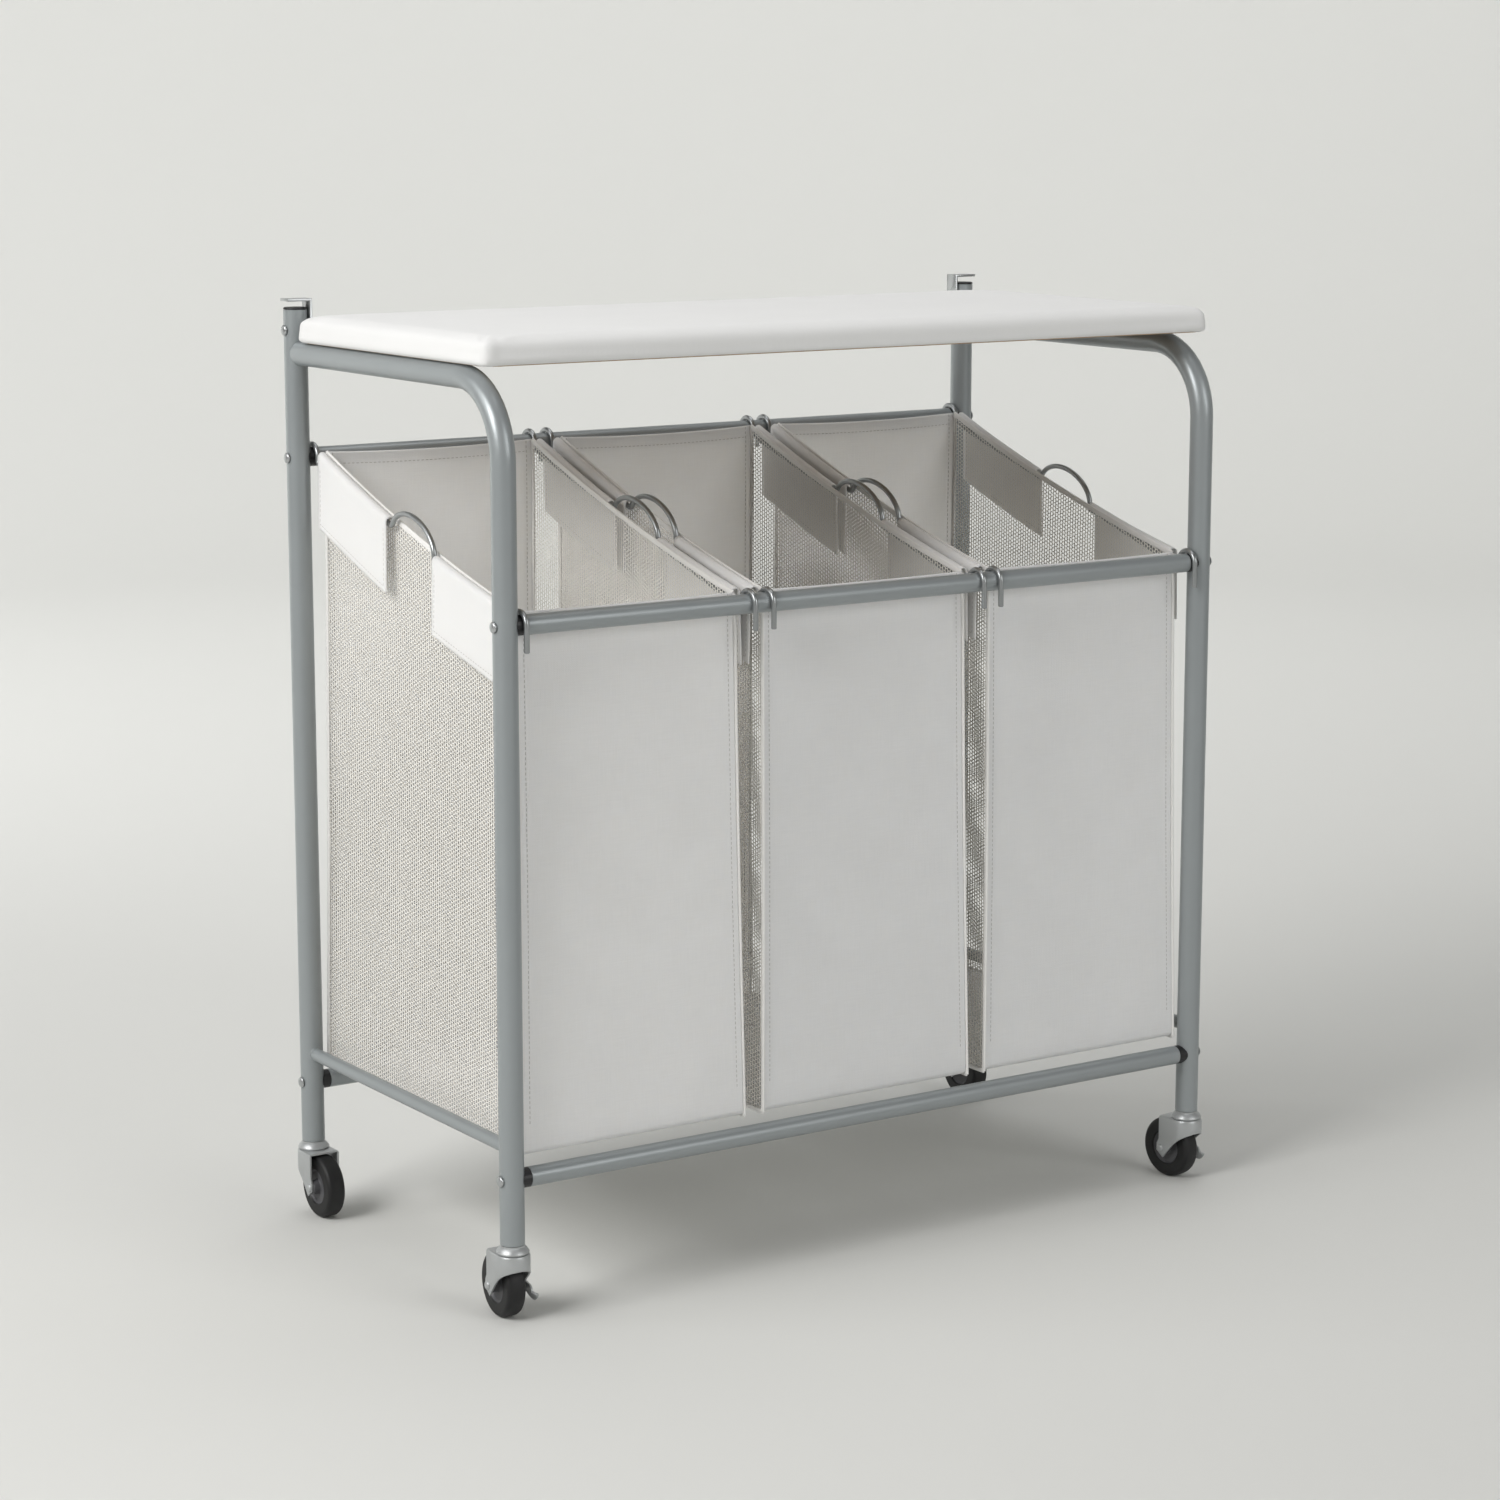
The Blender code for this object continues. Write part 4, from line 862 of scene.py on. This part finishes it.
def net_material(name):
    """Net: thread-coloured, and clear where a hole is.

    Holes are circles in upright columns, each column half a pitch up from the last. far, the square
    of the distance to the middle of the nearest hole in pitches, is worked out from the texture map.
    """
    material, tree, _ = new_material(name)
    add, link = tree.nodes.new, tree.links.new
    shader = tree.nodes["Principled BSDF"]
    set_inputs(shader, Roughness=0.8, Sheen_Weight=0.15)

    def math(operation, *values):
        return calculate(tree, operation, *values)

    place = add("ShaderNodeTexCoord")
    split = add("ShaderNodeSeparateXYZ")
    link(place.outputs["UV"], split.inputs[0])
    columns = math("DIVIDE", split.outputs[0], NET_COLUMN)
    shift = math("MULTIPLY", math("MODULO", math("FLOOR", columns), 2.0), 0.5)
    rows = math("ADD", math("DIVIDE", split.outputs[1], NET_PITCH), shift)
    down = math("SUBTRACT", math("FRACT", rows), 0.5)
    across = math("MULTIPLY", math("SUBTRACT", math("FRACT", columns), 0.5), NET_COLUMN / NET_PITCH)
    far = math("ADD", math("MULTIPLY", across, across), math("MULTIPLY", down, down))
    thread = add("ShaderNodeMapRange")
    set_inputs(thread, From_Min=NET_HOLE[0], From_Max=NET_HOLE[1])
    link(far, thread.inputs["Value"])
    link(thread.outputs["Result"], shader.inputs["Alpha"])
    noise = add("ShaderNodeTexNoise")
    set_inputs(noise, Scale=60.0)
    link(place.outputs["UV"], noise.inputs["Vector"])
    shade = math("MULTIPLY_ADD", math("SUBTRACT", noise.outputs["Fac"], 0.5), 0.15, 1.0)
    link(shaded(tree, NET_COLOUR, shade), shader.inputs["Base Color"])
    add_relief(tree, far, 0.25, 0.0004)
    return material


net = net_material("net")


def sagging_rim(y):
    """Height of a bag's side rim: the straight line between its corners, less a parabola of sag."""
    return straight_rim(y) - RIM_SAG * (1 - np.clip(np.abs(y) / rim_rear[0], 0, 1) ** 2)


def side_surface(middle_x, sign, y_share, down_share, seed):
    """Points of a bag's side: y_share runs from front (-1) to rear (1), down_share from rim to floor.

    The side bows in by up to 3 mm in its middle, with slow folds, and meets the strip at its edges.
    """
    y = rim_rear[0] * y_share
    for _ in range(3):
        top = sagging_rim(y)
        z = top + (base_z - top) * down_share
        y = half_depth(z) * y_share
    middle = (1 - y_share**2) * np.sin(np.pi * np.clip(down_share, 0, 1))
    bow = 0.0030 * middle + 0.0004 * ripple(y, z, seed) * (1 - y_share**2) * np.clip(4 * down_share, 0, 1)
    x = middle_x + sign * (half_width(z) - bow)
    return np.stack([x + 0 * y, y + 0 * x, z + 0 * x], -1)


def side_net(middle_x, sign, seed):
    """The net's points and its texture map: depth one way and height the other, in metres."""
    y_share = np.linspace(-1, 1, 49)[None, :]
    down_share = np.linspace(0, 1, 61)[:, None]
    points = side_surface(middle_x, sign, y_share, down_share, seed)
    return points, points[..., 1:]


for seed, bag in enumerate(BAGS):
    for side, sign in (("left", -1), ("right", 1)):
        points, lengths = side_net(centre_of(f"{bag}_bag")[0], sign, 10 + 2 * seed + (sign > 0))
        piece = hanging_sheet(f"{bag}_bag_{side}_net", points, lengths, net, 0.0002)
        fit(piece, f"{bag}_bag")

# ------------------------------------------------------------
# Bindings. Canvas tape is folded over the raw edges where strip and net meet, down each upright
# corner, round the floor and along the rim, and sewn through.
# ------------------------------------------------------------
TAPE_WIDTH, TAPE_THICKNESS = 0.0042, 0.0022
RIM_TAPE_WIDTH, RIM_TAPE_THICKNESS = 0.0052, 0.0020
tape_canvas = cloth_finish("tape_canvas", (0.84, 0.83, 0.81), 700.0, slub=0.2, shade=0.06, bump=0.25,
                           coords="Object")


def tape_grid(path, flat_way, width, thickness, sides=12):
    """A rounded flat tape along a path: a squashed circle, wide along flat_way, thin across it."""
    way = along(path)
    flat_way = flat_way - (flat_way * way).sum(-1, keepdims=True) * way
    flat_way = flat_way / np.linalg.norm(flat_way, axis=-1, keepdims=True)
    thin = np.cross(way, flat_way)
    a = 2 * np.pi * np.arange(sides) / sides
    c, s = np.cos(a), np.sin(a)
    wide = np.sign(c) * np.abs(c) ** 0.5 * width / 2
    high = np.sign(s) * np.abs(s) ** 0.5 * thickness / 2
    ring = wide[None, :, None] * flat_way[:, None] + high[None, :, None] * thin[:, None]
    body = path[:, None] + ring
    start = np.broadcast_to(path[:1, None], body[:1].shape)
    end = np.broadcast_to(path[-1:, None], body[-1:].shape)
    return np.concatenate([start, body, end])


def edge_bindings(middle_x, seed):
    """Tapes down the four upright corners, along the two floor edges of the sides and on their rims."""
    grids = []

    def lay(y_share, down_share, flat_way, shift, width=TAPE_WIDTH, thickness=TAPE_THICKNESS):
        path = side_surface(middle_x, sign, y_share, down_share, seed) + shift
        grids.append(tape_grid(path, np.broadcast_to(flat_way, path.shape), width, thickness))

    upright, level = [0.0, 0.0, 1.0], [0.0, 1.0, 0.0]
    for sign in (-1, 1):
        for end in (-1, 1):
            lay(np.full(60, float(end)), np.linspace(0.002, 1, 60), level, (sign * 0.0006, end * 0.0002, 0))
        lay(np.linspace(-1, 1, 50), np.ones(50), upright, (sign * 0.0006, 0, 0))
        rim = (np.linspace(-1, 1, 60), np.zeros(60))
        lay(*rim, upright, (0, 0, -0.0008), RIM_TAPE_WIDTH, RIM_TAPE_THICKNESS)
    return grids


for seed, bag in enumerate(BAGS):
    tapes = edge_bindings(centre_of(f"{bag}_bag")[0], 10 + 2 * seed)
    piece = skin_piece(f"{bag}_bag_binding", tapes, tape_canvas, 60)
    fit(piece, f"{bag}_bag")

# ------------------------------------------------------------
# Flaps. Two pieces of doubled white canvas on each side are sewn to the rim, folded over the rod
# and left to hang outside. The gap between them leaves the rod's handle free.
# ------------------------------------------------------------
FLAP_DEPTH = 0.068
FLAP_SHEET = 0.0013
FOLD_POINTS = 12
REAR_FLAP = (0.040, 0.1725)
FRONT_FLAP = (-0.1725, -0.046)
flap_canvas = cloth_finish("flap_canvas", (0.80, 0.795, 0.785), 700.0, slub=0.2, shade=0.05, glow=0.5)


def fold_line():
    """A flap in end view, as (out, down) from the rim: from its seam over the rod, down the outside."""
    return np.concatenate([
        arc((0.0054, 0.0030), (-0.0044, 0), (0, -0.0046), 0, 180, FOLD_POINTS),
        straight((0.0098, 0.0040), (0.0103, FLAP_DEPTH), 26)[1:],
    ])


def flap(middle_x, sign, start, end, seed):
    """The fold line carried along the rim from start to end, with a slow flare towards its hem."""
    line = fold_line()
    run = np.concatenate([[0], np.cumsum(np.linalg.norm(np.diff(line, axis=0), axis=1))])
    y = np.linspace(start, end, 30)[None, :]
    out, down = line[:, :1], line[:, 1:]
    free = np.clip((down - 0.012) / FLAP_DEPTH, 0, 1) * (out > 0.006)
    wave = 0.0009 * ripple(y, down, seed) * free
    x = middle_x + sign * (RIM_HALF_WIDTH + 0.0004 + out + wave + 0.0006 * free)
    z = sagging_rim(y) - down + 0.0004 * ripple(y, 0.3, seed + 7)
    points = np.stack([x, y + 0 * x, z], -1)
    lengths = np.stack([y + 0 * x, run[:, None] + 0 * x], -1)
    return points, lengths, run[-1]


for seed, bag in enumerate(BAGS):
    for side, sign in (("left", -1), ("right", 1)):
        for end_name, (start, end) in (("front", FRONT_FLAP), ("rear", REAR_FLAP)):
            name = f"{bag}_bag_{side}_{end_name}_flap"
            points, lengths, length = flap(centre_of(f"{bag}_bag")[0], sign, start, end, 30 + 4 * seed + sign)
            piece = hanging_sheet(name, points, lengths, flap_canvas, FLAP_SHEET)
            fit(piece, f"{bag}_bag")
            first = FOLD_POINTS + 1
            outline = np.concatenate([points[first:-3, 1], points[-3, 1:-1], points[-3:first:-1, -2]])
            sew(f"{name}_stitching", [(outline, (sign, 0, 0))], f"{bag}_bag")

# ------------------------------------------------------------
# Casters. A stamped zinc fork turns under a collar whose stem is pushed into the post. A black
# tyre runs on a dark grey core.
# ------------------------------------------------------------
caster_zinc = hard_finish("caster_zinc", (0.47, 0.485, 0.49), 0.42, 0.55, spread=0.14, tint=0.08, bump=0.05)
tyre_rubber = hard_finish("tyre_rubber", (0.0045, 0.0045, 0.005), 0.55, spread=0.10, tint=0.3, bump=0.06,
                          grain=1400.0)
core_plastic = hard_finish("core_plastic", (0.085, 0.085, 0.092), 0.5, spread=0.1, tint=0.15, bump=0.05)


def arc_profile(centre, radius, start, end, count=7):
    """Points of an arc in a turned profile, as (radius, height) pairs, angles in degrees."""
    a = np.radians(np.linspace(start, end, count))
    return np.stack([centre[0] + radius * np.cos(a), centre[1] + radius * np.sin(a)], -1)


def tyre_profile(radius=0.030, half=0.009, bore=0.0165, shoulder=0.0042):
    """A tyre's section: side walls with a small lip, round shoulders and a slightly crowned tread."""
    crown = np.linspace(1, -1, 7)[1:-1]
    tread = np.stack([radius - 0.0003 * crown**2, crown * (half - shoulder)], -1)
    upper = arc_profile((radius - shoulder - 0.0003, half - shoulder), shoulder, 90, 0)
    lower = arc_profile((radius - shoulder - 0.0003, -half + shoulder), shoulder, 0, -90)
    lip = [(bore, -half + 0.0012), (bore, half - 0.0012)]
    edge = [(bore + 0.0010, half), (radius - shoulder - 0.003, half)]
    other = [(radius - shoulder - 0.003, -half), (bore + 0.0010, -half)]
    return np.concatenate([lip[1:], edge, upper, tread, lower, other, lip[:1], lip[1:]])


CORE_HALF = [(0.0033, 0.0135), (0.0060, 0.0135), (0.0066, 0.0129), (0.0072, 0.0072), (0.0082, 0.0064),
             (0.0148, 0.0060), (0.0160, 0.0070), (0.0166, 0.0078)]
CORE_PROFILE = CORE_HALF + [(r, -h) for r, h in CORE_HALF[::-1]] + CORE_HALF[:1]
COLLAR_SEAT = 0.0638
COLLAR_PROFILE = [(0, -0.0042), (0.0058, -0.0042), (0.0060, -0.0026), (0.0040, -0.0024), (0.0040, 0),
                  (0.0143, 0), (0.0147, 0.0005), (0.0149, 0.0012), (0.0147, 0.0019), (0.0130, 0.0042),
                  (0.0119, 0.0054), (0.0112, 0.0060), (0.0109, 0.0062), (0.0109, 0.0074), (0.0094, 0.0076)]
spins = {joint["child"]: joint for joint in frame["joints"]}
for corner in ("front_left", "front_right", "rear_left", "rear_right"):
    spin = spins[f"{corner}_wheel"]
    hub, axle = np.array(spin["pos_m"]), np.array(spin["axis"])
    tyre = skin_piece(f"{corner}_tyre", [turned(tyre_profile(), hub, axle, 72)], tyre_rubber, 30)
    core = skin_piece(f"{corner}_wheel_core", [turned(CORE_PROFILE, hub, axle, 48)], core_plastic, 30)
    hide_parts(f"{corner}_wheel")
    for piece in (tyre, core):
        fit(piece, f"{corner}_wheel")
    ease_edges(nodes[f"{corner}_caster_fork"], 0.0003, caster_zinc)
    low, high = box_of(f"{corner}_caster_stem")
    seat = (*((low + high) / 2)[:2], COLLAR_SEAT)
    profile = COLLAR_PROFILE + [(0.0094, high[2] - COLLAR_SEAT), (0, high[2] - COLLAR_SEAT)]
    collar = skin_piece(f"{corner}_caster_collar", [turned(profile, seat, (0, 0, 1), 56)], caster_zinc, 30)
    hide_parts(f"{corner}_caster_stem")
    fit(collar, "frame")

# ------------------------------------------------------------
# Brake levers of the front casters. Each is stamped from zinc-plated sheet, turns on the axle
# outside the fork, and widens at its front end into a foot plate that flares out and down.
# ------------------------------------------------------------
LEVER_SHEET, LEVER_EYE, LEVER_REACH = 0.0016, 0.0042, 0.0240
LEVER_INSIDE = 0.0159
RIVET_PROFILE = [(0, 0.0183), (0.0030, 0.0183), (0.0042, 0.0176), (0.0042, 0.0165), (0, 0.0165)]


def ease(low, high, value):
    """A smooth step from 0 at low to 1 at high."""
    share = np.clip((value - low) / (high - low), 0, 1)
    return share * share * (3 - 2 * share)


def brake_lever(hub, out):
    """The lever's sheet on a grid: u runs from the eye to the foot, v from the top edge down.

    Its half height grows from the eye to the foot and closes in a half circle at both ends, its
    middle line falls towards the foot, and its lower edge leans outwards there.
    """
    u = np.sin(np.linspace(-np.pi / 2, np.pi / 2, 33))[:, None] / 2 + 0.5
    v = np.linspace(-1, 1, 15)[None, :]
    middle = -0.0062 * ease(0.25, 0.80, u)
    tall = LEVER_EYE + 0.0036 * ease(0.30, 0.80, u)
    past_foot, past_eye = np.clip((u - 0.74) / 0.26, 0, 0.995), np.clip((0.15 - u) / 0.15, 0, 0.995)
    ends = np.sqrt(1 - past_foot**2) * np.sqrt(1 - past_eye**2)
    forward = LEVER_REACH * u - LEVER_EYE * (1 - u)
    up = middle - v * tall * ends
    aside = LEVER_INSIDE + LEVER_SHEET / 2 + 0.0062 * ease(0.30, 0.95, u) * ease(-0.9, 1.3, v)
    back = np.cross((0, 0, 1), out)
    return hub + aside[..., None] * out - forward[..., None] * back + up[..., None] * np.array([0, 0, 1.0])


for corner in ("front_left", "front_right"):
    spin = spins[f"{corner}_wheel"]
    hub, out = np.array(spin["pos_m"]), np.array(spin["axis"])
    out = out * np.sign((centre_of(f"{corner}_brake_pedal") - hub) @ out)
    points = brake_lever(hub, out)
    lever = hanging_sheet(f"{corner}_brake_lever", points, points[..., :2], caster_zinc, LEVER_SHEET)
    bevel = lever.modifiers.new("Eased edges", "BEVEL")
    bevel.width, bevel.segments, bevel.limit_method = 0.0003, 2, "ANGLE"
    bevel.angle_limit = np.radians(50)
    rivet = skin_piece(f"{corner}_brake_rivet", [turned(RIVET_PROFILE, hub, out, 24)], bright_zinc, 30)
    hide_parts(f"{corner}_brake_pedal")
    for piece in (lever, rivet):
        fit(piece, f"{corner}_brake")

# ------------------------------------------------------------
# The set: a pale floor that curves up into a backdrop, broad soft lights from the left, the front
# and above, two more on the backdrop, and the camera.
# ------------------------------------------------------------
stage_paint, tree, _ = new_material("stage_paint")
set_inputs(tree.nodes["Principled BSDF"], Base_Color=(0.695, 0.697, 0.675, 1), Roughness=0.9,
           Specular_IOR_Level=0.1)


def backdrop_surface():
    """A round bowl: flat out to 4.6 m, then a quarter circle of 2.6 m radius, then upright to 5 m."""
    a = np.radians(np.linspace(0, 90, 16))
    radius = np.concatenate([[0.0, 1.5, 3.0], 4.6 + 2.6 * np.sin(a), [7.2]])
    height = np.concatenate([[0.0, 0.0, 0.0], 2.6 - 2.6 * np.cos(a), [5.0]])
    turn = np.radians(np.linspace(0, 360, 96, endpoint=False))
    x = radius[:, None] * np.cos(turn)
    y = radius[:, None] * np.sin(turn)
    return np.stack([x, y, height[:, None] + 0 * x], -1)


backdrop = skin_piece("backdrop", [backdrop_surface()], stage_paint)
backdrop.data.flip_normals()


def soft_light(name, place, target, size, power, colour=(1, 1, 1)):
    """A square area light at place, aimed at target."""
    lamp = bpy.data.lights.new(name, "AREA")
    lamp.size = size
    lamp.energy = power
    lamp.color = colour
    light = bpy.data.objects.new(name, lamp)
    bpy.context.scene.collection.objects.link(light)
    light.location = place
    light.visible_camera = False
    light.rotation_euler = (Vector(target) - Vector(place)).to_track_quat("-Z", "Y").to_euler()
    return light


soft_light("key_light", (-3.4, -0.7, 2.7), (0, 0, 0.4), 1.8, 105, (1.0, 0.99, 0.98))
soft_light("rear_key_light", (-3.2, 1.0, 2.6), (0, 0, 0.4), 1.8, 24)
soft_light("top_light", (0.3, 0.3, 4.6), (0, 0, 0), 3.0, 58)
soft_light("front_light", (1.3, -4.6, 2.4), (0.1, 0, 0.4), 2.6, 66)
soft_light("left_backdrop_light", (-2.6, 3.2, 2.6), (0.2, 6.6, 1.0), 1.6, 146)
soft_light("right_backdrop_light", (2.5, 2.0, 4.2), (4.0, 5.5, 1.0), 2.5, 95)
world = bpy.data.worlds.new("studio")
world.use_nodes = True
set_inputs(world.node_tree.nodes["Background"], Color=(1.0, 1.0, 0.985, 1), Strength=0.04)
bpy.context.scene.world = world
bpy.context.scene.view_settings.view_transform = "Standard"

camera = bpy.data.objects.new("camera", bpy.data.cameras.new("camera"))
bpy.context.scene.collection.objects.link(camera)
camera.data.lens = 87.51
camera.data.sensor_width = 36.0
camera.location = (-1.9066, -2.8731, 1.0798)
camera.rotation_euler = np.radians((90 - 10.444, 0.0, -33.469))
bpy.context.scene.camera = camera
